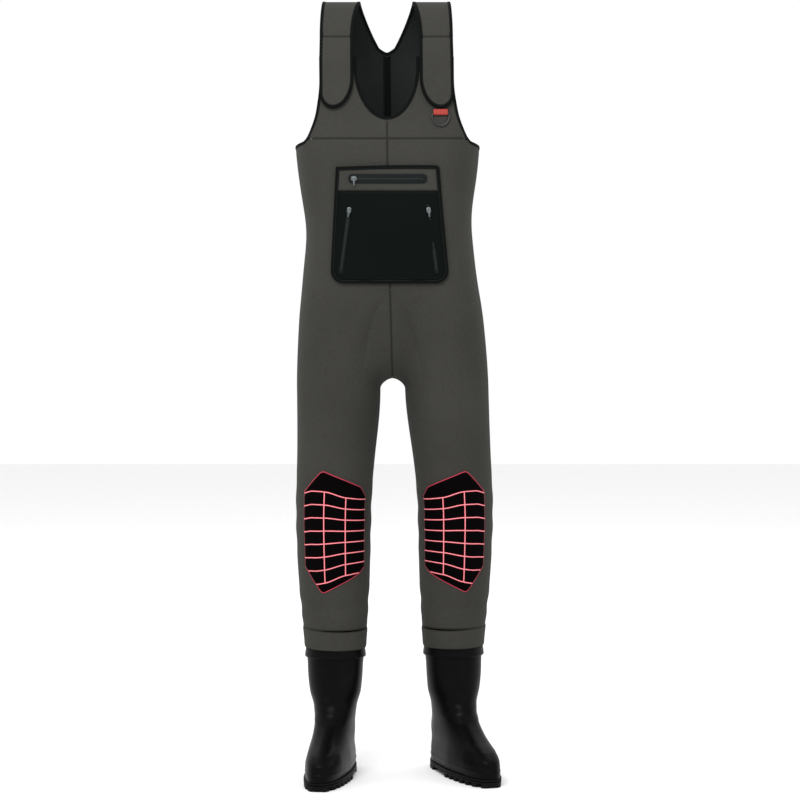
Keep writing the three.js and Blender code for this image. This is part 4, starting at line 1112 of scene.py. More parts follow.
@dataclass
class Bib(Assembly):
    """The bib: front panels, yokes, back panels with their straps, bindings and the back tape."""

    form: BodyForm = field(default_factory=BodyForm)
    valley: float = 1.1
    binding_half: float = 3.5
    binding_thick: float = 3.1

    def build(self) -> None:
        """Builds every piece of the bib."""
        for side in Side:
            self.front_panel(side)
            self.yoke(side)
            self.back_panel(side)
            self.armhole_binding(side)
        self.neck_bindings()
        self.back_tape()

    def sew(self, edge: float) -> float:
        """How far the cloth sinks beside a seam at a distance from it."""
        return -self.valley * (1 - smooth(edge / 4.5))

    def lay(
        self,
        name: str,
        side: Side,
        rows: int,
        row: Callable[[float, float], tuple[float, float, float]],
        seams: Callable[[float, float, float, float], float],
        size: tuple[float, float],
        columns: int = 44,
    ) -> None:
        """Lays one neoprene panel on the form and ties it to the bib.

        Args:
            name: the CAD node that it stands for, without the side.
            side: the wearer's side.
            rows: divisions up the panel.
            row: gives the run and the inner and outer limits at a share across and up.
            seams: gives the distance to the nearest seam from x, the outer limit, height and share up.
            size: width and length of the cut in metres.
            columns: divisions across.
        """
        work = Workpiece(f"{name}_{side.word}_cloth")
        edges: dict[tuple[float, float], float] = {}

        def spot(u: float, v: float) -> tuple[float, float]:
            _, start, stop = row(u, v)
            width = max(stop - start, 1.0)
            t = crowd(u, min(0.2, 7 / width), 4 / columns)
            run, start, stop = row(t, v)
            a, b = self.form.angle(start, run), self.form.angle(stop, run)
            angle = lerp(a, b, t)
            x = self.form.half(self.form.height(run)) * math.sin(angle)
            edges[(u, v)] = seams(x, stop, run, v)
            return angle, run

        def put(u: float, v: float) -> Vector:
            angle, run = spot(u, v)
            return self.form.point(angle * side.value, run, self.sew(edges[(u, v)]))

        def edge(u: float, v: float) -> float:
            spot(u, v)
            return edges[(u, v)]

        work.patch(columns, rows, put, size, edge)
        work.face_away(self.form.inside)
        area = cloth_area(work)
        pal = self.palette
        piece = work.finish((pal.neoprene, pal.lining, pal.foam), NEOPRENE - 0.2, 1, 2)
        self.keep(piece, "bib", (f"{name}_{side.word}",), "neoprene")
        self.cut(piece, fit_flat(area, *size), area, "stretched", (f"hip_{side.word}",))

    def front_panel(self, side: Side) -> None:
        """A front panel from the hip line to the chest seam."""
        form = self.form

        def row(u: float, v: float) -> tuple[float, float, float]:
            if v < 0.36:
                share = v / 0.36
                angle = lerp(0.0008, math.pi / 2 - 0.003, u)
                low = form.hip_height(form.section(math.sin(angle)))
                height = lerp(low, 1008, share)
                return form.front_run(height), 0.15, form.half(height)
            if v < 0.72:
                height = lerp(1008, 1230, (v - 0.36) / 0.36)
                return form.front_run(height), 0.15, form.half(height)
            height = lerp(1230, 1246.8, (v - 0.72) / 0.28)
            return form.front_run(height), 0.15, form.armhole(height)

        def seams(x: float, _stop: float, run: float, _v: float) -> float:
            height = form.height(run)
            side_seam = form.arc(x, height) if height < 1222 else FAR_FROM_SEAM
            return min(x, 1247 - height, side_seam)

        self.lay("front_panel", side, 76, row, seams, (0.255, 0.300))

    def yoke(self, side: Side) -> None:
        """A yoke from the chest seam to the strap, cut away for the neck and the arm."""
        form = self.form

        def row(_u: float, v: float) -> tuple[float, float, float]:
            if v < 0.25:
                height = lerp(1247.1, 1283, v / 0.25)
                return form.front_run(height), 0.15, form.armhole(height)
            if v < 0.88:
                x, height = form.neckline((v - 0.25) / 0.63)
                return form.front_run(height), x + 0.15, form.armhole(height)
            height = lerp(1389, 1405, (v - 0.88) / 0.12)
            return form.front_run(height), 64.15, form.armhole(height)

        def seams(x: float, _stop: float, run: float, _v: float) -> float:
            height = form.height(run)
            return min(height - 1247, x if height < 1283 else FAR_FROM_SEAM)

        self.lay("yoke", side, 64, row, seams, (0.160, 0.165))

    def back_panel(self, side: Side) -> None:
        """A back panel from the hip line up the back and over the shoulder to the strap's seam."""
        form = self.form
        def row(u: float, v: float) -> tuple[float, float, float]:
            if v < 0.24:
                angle = lerp(0.0008, math.pi / 2 - 0.003, u)
                low = form.hip_height(-form.section(math.sin(angle)))
                height = lerp(low, 1066, v / 0.24)
            elif v < 0.4:
                height = lerp(1066, 1230, (v - 0.24) / 0.16)
            elif v < 0.5:
                height = lerp(1230, 1262, ((v - 0.4) / 0.1) ** 1.4)
            elif v < 0.64:
                height = lerp(1262, 1400, (v - 0.5) / 0.14)
            else:
                run = self.over(v)
                return run, form.back_inner(run), form.back_outer(run)
            run = form.back_run(height)
            return run, form.back_inner(run), form.back_outer(run)

        def seams(x: float, _stop: float, run: float, _v: float) -> float:
            centre = x if run > form.back_neck else FAR_FROM_SEAM
            low = form.height(run) < 1222 and run > form.arch
            side_seam = form.arc(x, form.height(run)) if low else FAR_FROM_SEAM
            return min(centre, side_seam, run - form.strap_seam)

        self.lay("back_panel", side, 130, row, seams, (0.290, 0.905))

    def over(self, v: float) -> float:
        """The run of a row of the back panel above the arch's foot, close together at the back neck."""
        form = self.form
        stations = (
            (0.64, form.arch),
            (0.70, form.back_neck),
            (0.78, lerp(form.back_neck, form.arch / 2, 0.07)),
            (0.84, lerp(form.back_neck, form.arch / 2, 0.3)),
            (1.0, form.strap_seam + 0.3),
        )
        for (low, start), (high, stop) in zip(stations, stations[1:]):
            if v <= high:
                return lerp(start, stop, (v - low) / (high - low))
        return stations[-1][1]

    def bound(
        self, route: Sequence[tuple[float, float]], inward: float, low: float = -NEOPRENE, high: float = 0.0
    ) -> list[tuple[Vector, Vector]]:
        """A binding's centre line along a bound edge.

        Args:
            route: the edge as (distance from the middle, run).
            inward: how far the line lies from the edge, by the right hand.
            low: lift of the wall's inner face.
            high: lift of its outer face.

        Returns:
            Points in metres, each with the direction out of the form.
        """
        form = self.form
        spine = [form.on(x, run) for x, run in route]
        made = []
        for i, (x, run) in enumerate(route):
            normal = form.normal(form.angle(x, run), run)
            ahead, behind = spine[min(i + 1, len(spine) - 1)], spine[max(i - 1, 0)]
            out = (ahead - behind).cross(normal).normalized()
            centre = spine[i] + out * (inward * MM) + normal * ((low + high) / 2 * MM)
            made.append((centre, normal))
        return made

    def bind(
        self, name: str, routes: Sequence[list[tuple[Vector, Vector]]], turn: bool = False
    ) -> bpy.types.Object:
        """Makes a binding piece on the bib from its centre lines."""
        work = Workpiece(f"{name}_tape")
        for route in routes:
            work.strip(route, self.binding_half, self.binding_thick, sides=16, square=3.2, turn=turn)
        piece = work.finish((self.palette.binding,), sharp=60)
        return self.keep(piece, "bib", (name,), "binding")

    def armhole_binding(self, side: Side) -> None:
        """The binding round an armhole, from the front up the back and over the shoulder."""
        form, sign = self.form, side.value
        seam = form.strap_seam + 0.3
        heights = [lerp(1405, 1230, 1 - (1 - t / 46) ** 2) for t in range(47)]
        descent = [(form.armhole(h), form.front_run(h)) for h in heights]
        climb = [(form.armhole(h), form.back_run(h)) for h in reversed([h for h in heights[:-1] if h < 1400])]
        runs = [lerp(form.arch, seam, t / 50) for t in range(51)]
        crossing = [(form.back_outer(run), run) for run in runs]
        edge = [(sign * x, run) for x, run in (*descent, *climb, *crossing)]
        self.bind(f"armhole_binding_{side.word}", [self.bound(edge, -sign * 3.0)], turn=side is Side.RIGHT)

    def neck_bindings(self) -> None:
        """The bindings of the front neckline and of the back neck."""
        form = self.form
        half = [(64.0, form.front_run(lerp(1405, 1389, t / 4))) for t in range(4)]
        for t in range(40, -1, -1):
            x, height = form.neckline(t / 40)
            half.append((x, form.front_run(height)))
        edge = half + [(-x, run) for x, run in reversed(half[:-1])]
        self.bind("neckline_binding", [self.bound(edge, 3.0)], turn=True)
        seam, point = form.strap_seam + 0.3, form.back_neck
        side = [lerp(seam, point, 1 - (1 - t / 60) ** 1.6) for t in range(61)]
        up = [(form.back_inner(run), run) for run in side]
        over = up + [(-x, run) for x, run in reversed(up[:-1])]
        self.bind("back_neck_binding", [self.bound(over, -3.0)])

    def back_tape(self) -> None:
        """The tape that covers the centre back seam on the inside."""
        form = self.form
        work = Workpiece("back_seam_cover")
        route = []
        for i in range(60):
            run = lerp(form.back_run(1066), form.back_neck + 1.0, i / 59)
            route.append((form.on(0.0, run, -NEOPRENE - 1.3), form.normal(0.0, run)))
        work.strip(route, 7.0, 0.6, sides=16, square=4)
        piece = work.finish((self.palette.binding,), sharp=60)
        self.keep(piece, "bib", ("back_seam_tape",), "binding")


@dataclass
class ShoulderStraps(Assembly):
    """The strap flaps with their bindings and the hook-and-loop pads under them."""

    form: BodyForm = field(default_factory=BodyForm)
    centre: float = 96.5
    half: float = 26.2
    drop: float = 96.0
    tip_outer: float = 24.0
    tip_inner: float = 56.0
    tip_outward: float = 8.0
    pad_half: float = 18.5
    lift_off: float = 3.3

    def lift(self, run: float) -> float:
        """How far the strap's inner face stands off the form at a run."""
        seam = self.form.strap_seam
        return (self.lift_off + NEOPRENE) * smooth((seam - run) / (seam + 9)) - NEOPRENE

    @property
    def foot(self) -> float:
        """The run of the flap's lower end, inside its binding."""
        return -self.drop + 6.3

    def side_at(self, across: int, run: float) -> float:
        """Distance of one edge from the flap's middle: 1 is its outer edge and -1 its inner edge."""
        length = self.tip_outer if across > 0 else self.tip_inner
        past = clamp((self.foot + length - run) / length)
        tip = self.tip_outward
        return tip + (across * self.half - tip) * math.sqrt(max(0.0, 1 - past * past))

    def run_at(self, v: float) -> float:
        """The run at a share of the way down the flap, close together round the tip."""
        bend = self.foot + self.tip_inner
        if v < 0.4:
            return lerp(self.form.strap_seam, bend, v / 0.4)
        sweep = (v - 0.4) / 0.6 * math.pi / 2
        return bend - self.tip_inner * math.sin(sweep) * 0.9996

    def build(self) -> None:
        """Builds both straps."""
        for side in Side:
            self.strap(side)
            self.fastening(side)

    def bend(self, side: Side) -> tuple[str, Vector, Vector]:
        """Where a strap bends: from its seam to a little way down it."""
        run = self.form.strap_seam
        start = self.form.on(side.value * self.centre, run)
        end = self.form.on(side.value * self.centre, run - 32)
        return f"strap_end_{side.word}", start, end

    def strap(self, side: Side) -> None:
        """The flap and the binding round it."""
        form, sign = self.form, side.value
        seam = form.strap_seam
        work = Workpiece(f"strap_{side.word}_cloth")

        def put(u: float, v: float) -> Vector:
            run = self.run_at(v)
            across = lerp(self.side_at(-1, run), self.side_at(1, run), u)
            puff = 0.8 * (1 - abs(2 * u - 1) ** 3) * smooth((seam - run) / 12) - self.seam_dip(seam - run)
            return form.on(sign * (self.centre + across), run, self.lift(run) + NEOPRENE + puff)

        work.patch(28, 84, put, (0.053, 0.150), lambda _u, v: min(FAR_FROM_SEAM, seam - self.run_at(v)))
        work.face_away(form.inside)
        area = cloth_area(work)
        pal = self.palette
        piece = work.finish((pal.neoprene, pal.lining, pal.foam), NEOPRENE - 0.2, 1, 2)
        self.keep(piece, "bib", (f"strap_{side.word}",), "neoprene", self.bend(side))
        self.cut(piece, fit_flat(area, 0.053, 0.150), area, "stretched", (f"yoke_{side.word}",))

        runs = [self.run_at(i / 84) for i in range(85)]
        round_it = [(self.side_at(1, run), run) for run in runs]
        round_it += [(self.side_at(-1, run), run) for run in reversed(runs)]
        edge = [(sign * (self.centre + x), run) for x, run in round_it]
        spine = [form.on(x, run, self.lift(run) + NEOPRENE / 2) for x, run in edge]
        route = []
        for i, (x, run) in enumerate(edge):
            normal = form.normal(form.angle(x, run), run)
            ahead, behind = spine[min(i + 1, len(spine) - 1)], spine[max(i - 1, 0)]
            out = (ahead - behind).cross(normal).normalized()
            route.append((spine[i] - out * (sign * 3.0 * MM), normal))
        bound = Workpiece(f"strap_binding_{side.word}_tape")
        bound.strip(route, 3.5, 3.0, sides=16, square=3.2, turn=side is Side.RIGHT)
        tape = bound.finish((pal.binding,), sharp=60)
        self.keep(tape, "bib", (f"strap_binding_{side.word}",), "binding", self.bend(side))

    @staticmethod
    def seam_dip(away: float) -> float:
        """The dip of the cloth beside the seam at the top of the flap."""
        return 1.0 * (1 - smooth(away / 4.5))

    def fastening(self, side: Side) -> None:
        """The loop pad on the bib and the hook pad under the strap."""
        form, sign = self.form, side.value
        pads = (("loop_pad", 0.3, 1.4, "bib"), ("hook_pad", 2.0, 3.1, f"strap_end_{side.word}"))
        for name, low, high, body in pads:
            work = Workpiece(f"{name}_{side.word}_velour")
            route = []
            for i in range(24):
                run = lerp(-64, -18, i / 23)
                x = sign * self.centre
                route.append((form.on(x, run, (low + high) / 2), form.normal(form.angle(x, run), run)))
            work.strip(route, self.pad_half, (high - low) / 2, sides=24, square=6)
            piece = work.finish((self.palette.velour,), sharp=50)
            self.keep(piece, body, (f"{name}_{side.word}",), "binding")


@dataclass
class ChestPocket(Assembly):
    """The front pocket: lining, padded front, upper panel and its bindings."""

    form: BodyForm = field(default_factory=BodyForm)
    bottom: float = 968.0
    top: float = 1193.0
    panel: float = 47.0
    corner: float = 19.7
    edge_inset: float = 6.3
    lift: float = 2.2
    thick: float = 4.0
    arch: float = 1.6
    tilt: float = 0.016

    def half(self, height: float) -> float:
        """Half width of the pocket inside its binding, with its round bottom corners."""
        half = lerp(115, 99, (height - self.bottom) / (self.top - self.bottom)) - self.edge_inset
        floor = self.bottom + self.edge_inset
        past = clamp((floor + self.corner - height) / self.corner)
        return half - self.corner * (1 - math.sqrt(1 - past**2))

    def brim(self, x: float) -> float:
        """How far the top edge rises above its level at a distance from the middle."""
        return self.arch * (1 - (x / 93) ** 2) + self.tilt * x

    def build(self) -> None:
        """Builds the pocket."""
        ceiling, floor = self.top - self.edge_inset, self.bottom + self.edge_inset
        split = self.top - self.panel
        self.face("pocket_lining", floor, ceiling, 0.7, 1.1, self.palette.lining, "lining", 0.0)
        pal, lift, thick = self.palette, self.lift, self.thick
        self.face("pocket_front", floor, split - 0.3, lift, thick, pal.pocket, "pocket", 1.4)
        self.face("pocket_top_panel", split, ceiling, lift, thick, pal.neoprene, "neoprene", 0.5)
        self.bindings(floor, ceiling)

    def face(
        self,
        node: str,
        low: float,
        high: float,
        lift: float,
        thick: float,
        material: bpy.types.Material,
        slot: str,
        puff: float,
    ) -> None:
        """One layer of the pocket.

        Args:
            node: the CAD node that it stands for.
            low: height of its lower edge.
            high: height of its upper edge.
            lift: lift of its inner face.
            thick: its thickness.
            material: its cloth.
            slot: the record's material slot.
            puff: how far its middle stands proud.
        """
        form = self.form
        work = Workpiece(f"{node}_cloth")
        rounded = low < self.bottom + 7
        raised = high > self.top - 8

        def height_at(v: float) -> float:
            if not rounded:
                return lerp(low, high, v)
            if v < 0.24:
                return low + self.corner * (1 - math.cos(v / 0.24 * math.pi / 2))
            return lerp(low + self.corner, high, (v - 0.24) / 0.76)

        def edge(u: float, v: float) -> float:
            height = height_at(v)
            return min(height - low, high - height, (1 - abs(2 * u - 1)) * self.half(height))

        def put(u: float, v: float) -> Vector:
            height = height_at(v)
            half = self.half(height)
            x = lerp(-half, half, crowd(u, 0.03, 0.08))
            away = edge(crowd(u, 0.03, 0.08), v)
            swell = puff * smooth(away / 40) - 0.9 * (1 - smooth(away / 5))
            if puff > 1:
                swell += 0.5 * math.sin(x / 19 + height / 31) * smooth(away / 20)
            share = smooth((height - low) / (high - low)) if raised else 0.0
            height += share * self.brim(x)
            return form.on(x, form.front_run(height), lift + thick + min(swell, puff))

        work.patch(64, 60, put, (0.21, (high - low) * MM), edge)
        work.face_away(form.inside)
        area = cloth_area(work)
        piece = work.finish((material, self.palette.lining, self.palette.foam), thick, 1, 2)
        self.keep(piece, "bib", (node,), slot)
        self.cut(piece, fit_flat(area, 0.21, (high - low) * MM), area, "stretched", ("front_panel_left",))

    def bindings(self, floor: float, ceiling: float) -> None:
        """The binding down the sides and round the bottom, and the one along the top."""
        form = self.form
        side = []
        for i in range(25):
            height = floor + self.corner * (1 - math.cos(i / 24 * math.pi / 2))
            side.append((self.half(height), form.front_run(height)))
        for i in range(1, 41):
            height = lerp(floor + self.corner, ceiling + 3.5, i / 40)
            risen = height + (self.tilt * 93 if i > 30 else 0)
            side.append((self.half(min(height, ceiling)), form.front_run(risen)))
        ring = [(-x, run) for x, run in reversed(side)] + side[1:]
        round_it = Workpiece("pocket_binding_tape")
        round_it.strip(self.along(ring, 3.0), 3.5, 3.3, sides=16, square=3.2, turn=True)
        piece = round_it.finish((self.palette.binding,), sharp=60)
        self.keep(piece, "bib", ("pocket_binding",), "binding")
        brim = []
        for i in range(49):
            x = lerp(-96, 96, i / 48)
            brim.append((x, form.front_run(ceiling + self.brim(x))))
        over = Workpiece("pocket_top_binding_tape")
        over.strip(self.along(brim, -3.0), 3.5, 3.4, sides=16, square=3.2)
        piece = over.finish((self.palette.binding,), sharp=60)
        self.keep(piece, "bib", ("pocket_top_binding",), "binding")

    def along(self, edge: Sequence[tuple[float, float]], inward: float) -> list[tuple[Vector, Vector]]:
        """A binding's centre line along the pocket's edge."""
        form = self.form
        middle = (0.7 + self.lift + self.thick) / 2 + 0.4
        spine = [form.on(x, run, middle) for x, run in edge]
        made = []
        for i, (x, run) in enumerate(edge):
            normal = form.normal(form.angle(x, run), run)
            ahead, behind = spine[min(i + 1, len(spine) - 1)], spine[max(i - 1, 0)]
            out = (ahead - behind).cross(normal).normalized()
            made.append((spine[i] + out * (inward * MM), normal))
        return made


class ZipPlace(Enum):
    """Where a zip is: its node's first words, and the bodies of its slider and its puller."""

    TOP = ("top", "top_slider", "top_puller")
    LEFT = ("side_left", "side_slider_left", "side_puller_left")
    RIGHT = ("side_right", "side_slider_right", "side_puller_right")


@dataclass
class Zip(Assembly):
    """A zip on the pocket: tape, teeth, slider and puller."""

    place: ZipPlace
    form: BodyForm = field(default_factory=BodyForm)
    slider_length: float = 11.0
    slider_width: float = 8.0
    slider_plate: tuple[float, float] = (2.9, 3.65)
    flange: tuple[float, float] = (1.35, 3.3)
    bridge_foot: float = 3.3
    bridge_rise: float = 4.4
    bridge_reach: float = 1.9
    bridge_wire: float = 0.55
    puller_length: float = 17.0
    puller_width: float = 5.0
    puller_faces: tuple[float, float] = (5.0, 6.6)
    eye_hole: float = 1.1
    eye_rim: float = 2.1

    @property
    def sizes(self) -> tuple[float, float]:
        """Length and width of the tape."""
        return (152.0, 18.0) if self.place is ZipPlace.TOP else (134.0, 8.0)

    @property
    def axes(self) -> Matrix:
        """The zip's axes: Z along it, with the slider's end at the top, and -Y out of the pocket."""
        lift = 6.2 + 0.35
        if self.place is ZipPlace.TOP:
            return self.form.stand(0, 1193 - 24, lift) @ Matrix.Rotation(-math.pi / 2, 4, "Y")
        sign = 1 if self.place is ZipPlace.LEFT else -1
        turn = math.atan(18 / 134)
        return self.form.stand(sign * 84, 1193 - 73 - 67, lift, -sign * turn)

    def build(self) -> None:
        """Builds the four pieces."""
        words, slider_body, puller_body = self.place.value
        pal = self.palette
        self.keep(self.tape(words), "bib", (f"{words}_zip_tape",), "zip")
        self.keep(self.teeth(words), "bib", (), "zip")
        self.keep(self.slider(words, pal.metal), slider_body, (f"{words}_zip_slider",), "metal")
        self.keep(self.puller(words, pal.metal), puller_body, (f"{words}_zip_puller",), "metal")

    def slab(
        self,
        work: Workpiece,
        width: float,
        length: float,
        near: float,
        far: float,
        middle: float,
        corner: float,
    ) -> None:
        """A rounded slab in the zip's plane.

        Args:
            work: the mesh that it goes into.
            width: its width.
            length: its length along the zip.
            near: its inner face's distance out of the pocket.
            far: its outer face's.
            middle: where its middle is along the zip.
            corner: radius of its corners.
        """
        made = bmesh.ops.create_cube(work.bm, size=1.0)["verts"]
        bmesh.ops.scale(work.bm, vec=(width, far - near, length), verts=made)
        bmesh.ops.translate(work.bm, vec=(0, -(near + far) / 2, middle), verts=made)
        least = 0.4 * (far - near)
        sides = [e for v in made for e in v.link_edges if abs(e.verts[0].co.y - e.verts[1].co.y) > least]
        round_edges(work.bm, set(sides), corner, 6)

    def soften(self, work: Workpiece, radius: float) -> None:
        """Rounds the sharp edges of a piece."""
        work.bm.normal_update()
        sharp = [e for e in work.bm.edges if e.is_manifold and e.calc_face_angle(0) > 0.9]
        round_edges(work.bm, sharp, radius, 2)

    def settle(self, work: Workpiece, material: bpy.types.Material, axes: Matrix) -> bpy.types.Object:
        """Moves a piece from the zip's axes, in millimetres, to the frame and finishes it."""
        bmesh.ops.transform(work.bm, matrix=axes @ Matrix.Scale(MM, 4), verts=work.bm.verts)
        work.close()
        for v in work.bm.verts:
            v[work.edge] = FAR_FROM_SEAM
        for f in work.bm.faces:
            for loop in f.loops:
                loop[work.uv].uv = (axes.inverted() @ loop.vert.co).xz
        return work.finish((material,), sharp=35)

    def tape(self, words: str) -> bpy.types.Object:
        """The tape, which is the visible welt of the zip."""
        length, width = self.sizes
        work = Workpiece(f"{words}_zip_welt")
        self.slab(work, width, length, 0.0, 1.0, 0.0, width / 2.3)
        self.soften(work, 0.3)
        return self.settle(work, self.palette.tape, self.axes)

    def teeth(self, words: str) -> bpy.types.Object:
        """Two rows of interlocking teeth along the tape."""
        length, _ = self.sizes
        work = Workpiece(f"{words}_zip_teeth")
        run = length - 16
        count = int(run / 2.2)
        for i in range(count):
            made = bmesh.ops.create_cube(work.bm, size=1.0)["verts"]
            bmesh.ops.scale(work.bm, vec=(2.6, 0.9, 0.8), verts=made)
            side = 0.55 if i % 2 else -0.55
            bmesh.ops.translate(work.bm, vec=(side, -1.15, run / 2 - i * run / count - 1), verts=made)
        return self.settle(work, self.palette.coil, self.axes)

    def slider(self, words: str, metal: bpy.types.Material) -> bpy.types.Object:
        """The slider: a plate with side flanges, and the bridge that carries the puller."""
        length, _ = self.sizes
        middle = length / 2 - self.slider_length
        work = Workpiece(f"{words}_zip_slider_body")
        self.slab(work, self.slider_width, self.slider_length, *self.slider_plate, middle, 2.5)
        for side in (-1, 1):
            before = set(work.bm.verts)
            self.slab(work, 1.3, self.slider_length - 3, *self.flange, middle, 0.4)
            made = [v for v in work.bm.verts if v not in before]
            bmesh.ops.translate(work.bm, vec=(side * (self.slider_width / 2 - 0.9), 0, 0), verts=made)
        self.soften(work, 0.35)
        bridge = []
        for i in range(13):
            t = math.pi * i / 12
            out = self.bridge_foot + self.bridge_rise * math.sin(t) ** 0.8
            along = middle + self.bridge_reach - self.bridge_reach * math.cos(t)
            bridge.append((Vector((0, -out, along)), Vector((1, 0, 0))))
        work.strip(bridge, self.bridge_wire, self.bridge_wire, sides=8, square=2)
        return self.settle(work, metal, self.axes)

    def puller(self, words: str, metal: bpy.types.Material) -> bpy.types.Object:
        """The puller: a waisted plate with a round eye, hung from the slider."""
        length, _ = self.sizes
        start = length / 2 - self.slider_length
        hang = self.puller_length / 2 - self.puller_width / 2
        work = Workpiece(f"{words}_zip_puller_plate")
        near, far = self.puller_faces
        bm = work.bm
        sides = 20
        upright = Matrix.Rotation(math.pi / 2, 3, "X")
        hole = bmesh.ops.create_circle(bm, cap_ends=False, segments=sides, radius=self.eye_hole)["verts"]
        bmesh.ops.rotate(bm, verts=hole, cent=(0, 0, 0), matrix=upright)
        rim = bmesh.ops.create_circle(bm, cap_ends=False, segments=sides, radius=self.eye_rim)["verts"]
        bmesh.ops.rotate(bm, verts=rim, cent=(0, 0, 0), matrix=upright)
        edges = {e for v in (*hole, *rim) for e in v.link_edges}
        bmesh.ops.bridge_loops(bm, edges=list(edges))
        eye_z = self.puller_length / 2 - 2.5
        bmesh.ops.translate(bm, vec=(0, 0, eye_z), verts=bm.verts)
        for v in rim:
            if v.co.z < eye_z - 0.5:
                v.co.z -= (self.puller_length - 5) * smooth((eye_z - v.co.z) / 2.2)
                v.co.x *= 1.0 if v.co.z > -4 else 1.06
        flat = list(bm.faces)
        grown = bmesh.ops.extrude_face_region(bm, geom=flat)["geom"]
        moved = [g for g in grown if isinstance(g, bmesh.types.BMVert)]
        bmesh.ops.translate(bm, vec=(0, -(far - near), 0), verts=moved)
        bmesh.ops.recalc_face_normals(bm, faces=bm.faces)
        self.soften(work, 0.3)
        place_at = Vector((0, -near, start - hang))
        if self.place is ZipPlace.TOP:
            axes = self.axes @ Matrix.Rotation(math.pi / 2, 4, "Y")
            place_at = Vector((-start, -near, -hang))
        else:
            axes = self.axes
        bmesh.ops.translate(bm, vec=place_at, verts=bm.verts)
        return self.settle(work, metal, axes)


@dataclass
class AccessoryRing(Assembly):
    """The D-ring under the left strap and the red webbing loop that holds it."""

    form: BodyForm = field(default_factory=BodyForm)
    wire: float = 1.4
    width: float = 36.0
    drop: float = 24.2
    tab_half: float = 14.0
    webbing: float = 1.8
    rise: float = 5.0

    @property
    def axes(self) -> Matrix:
        """The ring's axes: X along its bar, Z up, -Y out of the bib."""
        lift = self.wire + 0.3 + self.webbing + 0.7
        return self.form.stand(103.5, 1400 - 96 - 9.5, lift)

    def build(self) -> None:
        """Builds the ring and the loop."""
        half = (self.width - 2 * self.wire) / 2
        points = [Vector((lerp(-1, 1, t / 10) * (half - 2), 0, 0)) for t in range(11)]
        for t in range(33):
            sweep = math.pi * t / 32
            fall = -3 - (self.drop - 3) * math.sin(sweep) ** 0.8 if 0 < t < 32 else -3
            points.append(Vector((half * math.cos(sweep), 0, fall)))
        ring = Workpiece("d_ring_wire")
        axes = self.axes
        route = [(axes @ (p * MM), (axes.to_3x3() @ Vector((0, -1, 0))).normalized()) for p in points]
        ring.strip(route, self.wire, self.wire, closed=True, sides=14, square=2)
        piece = ring.finish((self.palette.ring,), sharp=60)
        self.keep(piece, "d_ring", ("d_ring",), "metal")

        radius = self.wire + 0.3 + self.webbing / 2
        loop = []
        for t in range(13):
            turn = -math.pi / 2 + math.pi * t / 12 - math.pi / 2
            loop.append((Vector((0, math.cos(turn) * radius, math.sin(turn) * radius)), turn))
        for t in range(13):
            turn = math.pi * t / 12
            loop.append((Vector((0, math.cos(turn) * radius, math.sin(turn) * radius + self.rise)), turn))
        work = Workpiece("webbing_tab_loop")
        route = []
        for point, turn in loop:
            out = Vector((0, math.cos(turn), math.sin(turn)))
            route.append((axes @ (point * MM), (axes.to_3x3() @ out).normalized()))
        work.strip(route, self.tab_half, self.webbing / 2, closed=True, sides=28, square=8)
        piece = work.finish((self.palette.webbing,), sharp=50)
        self.keep(piece, "bib", ("webbing_tab",), "webbing")


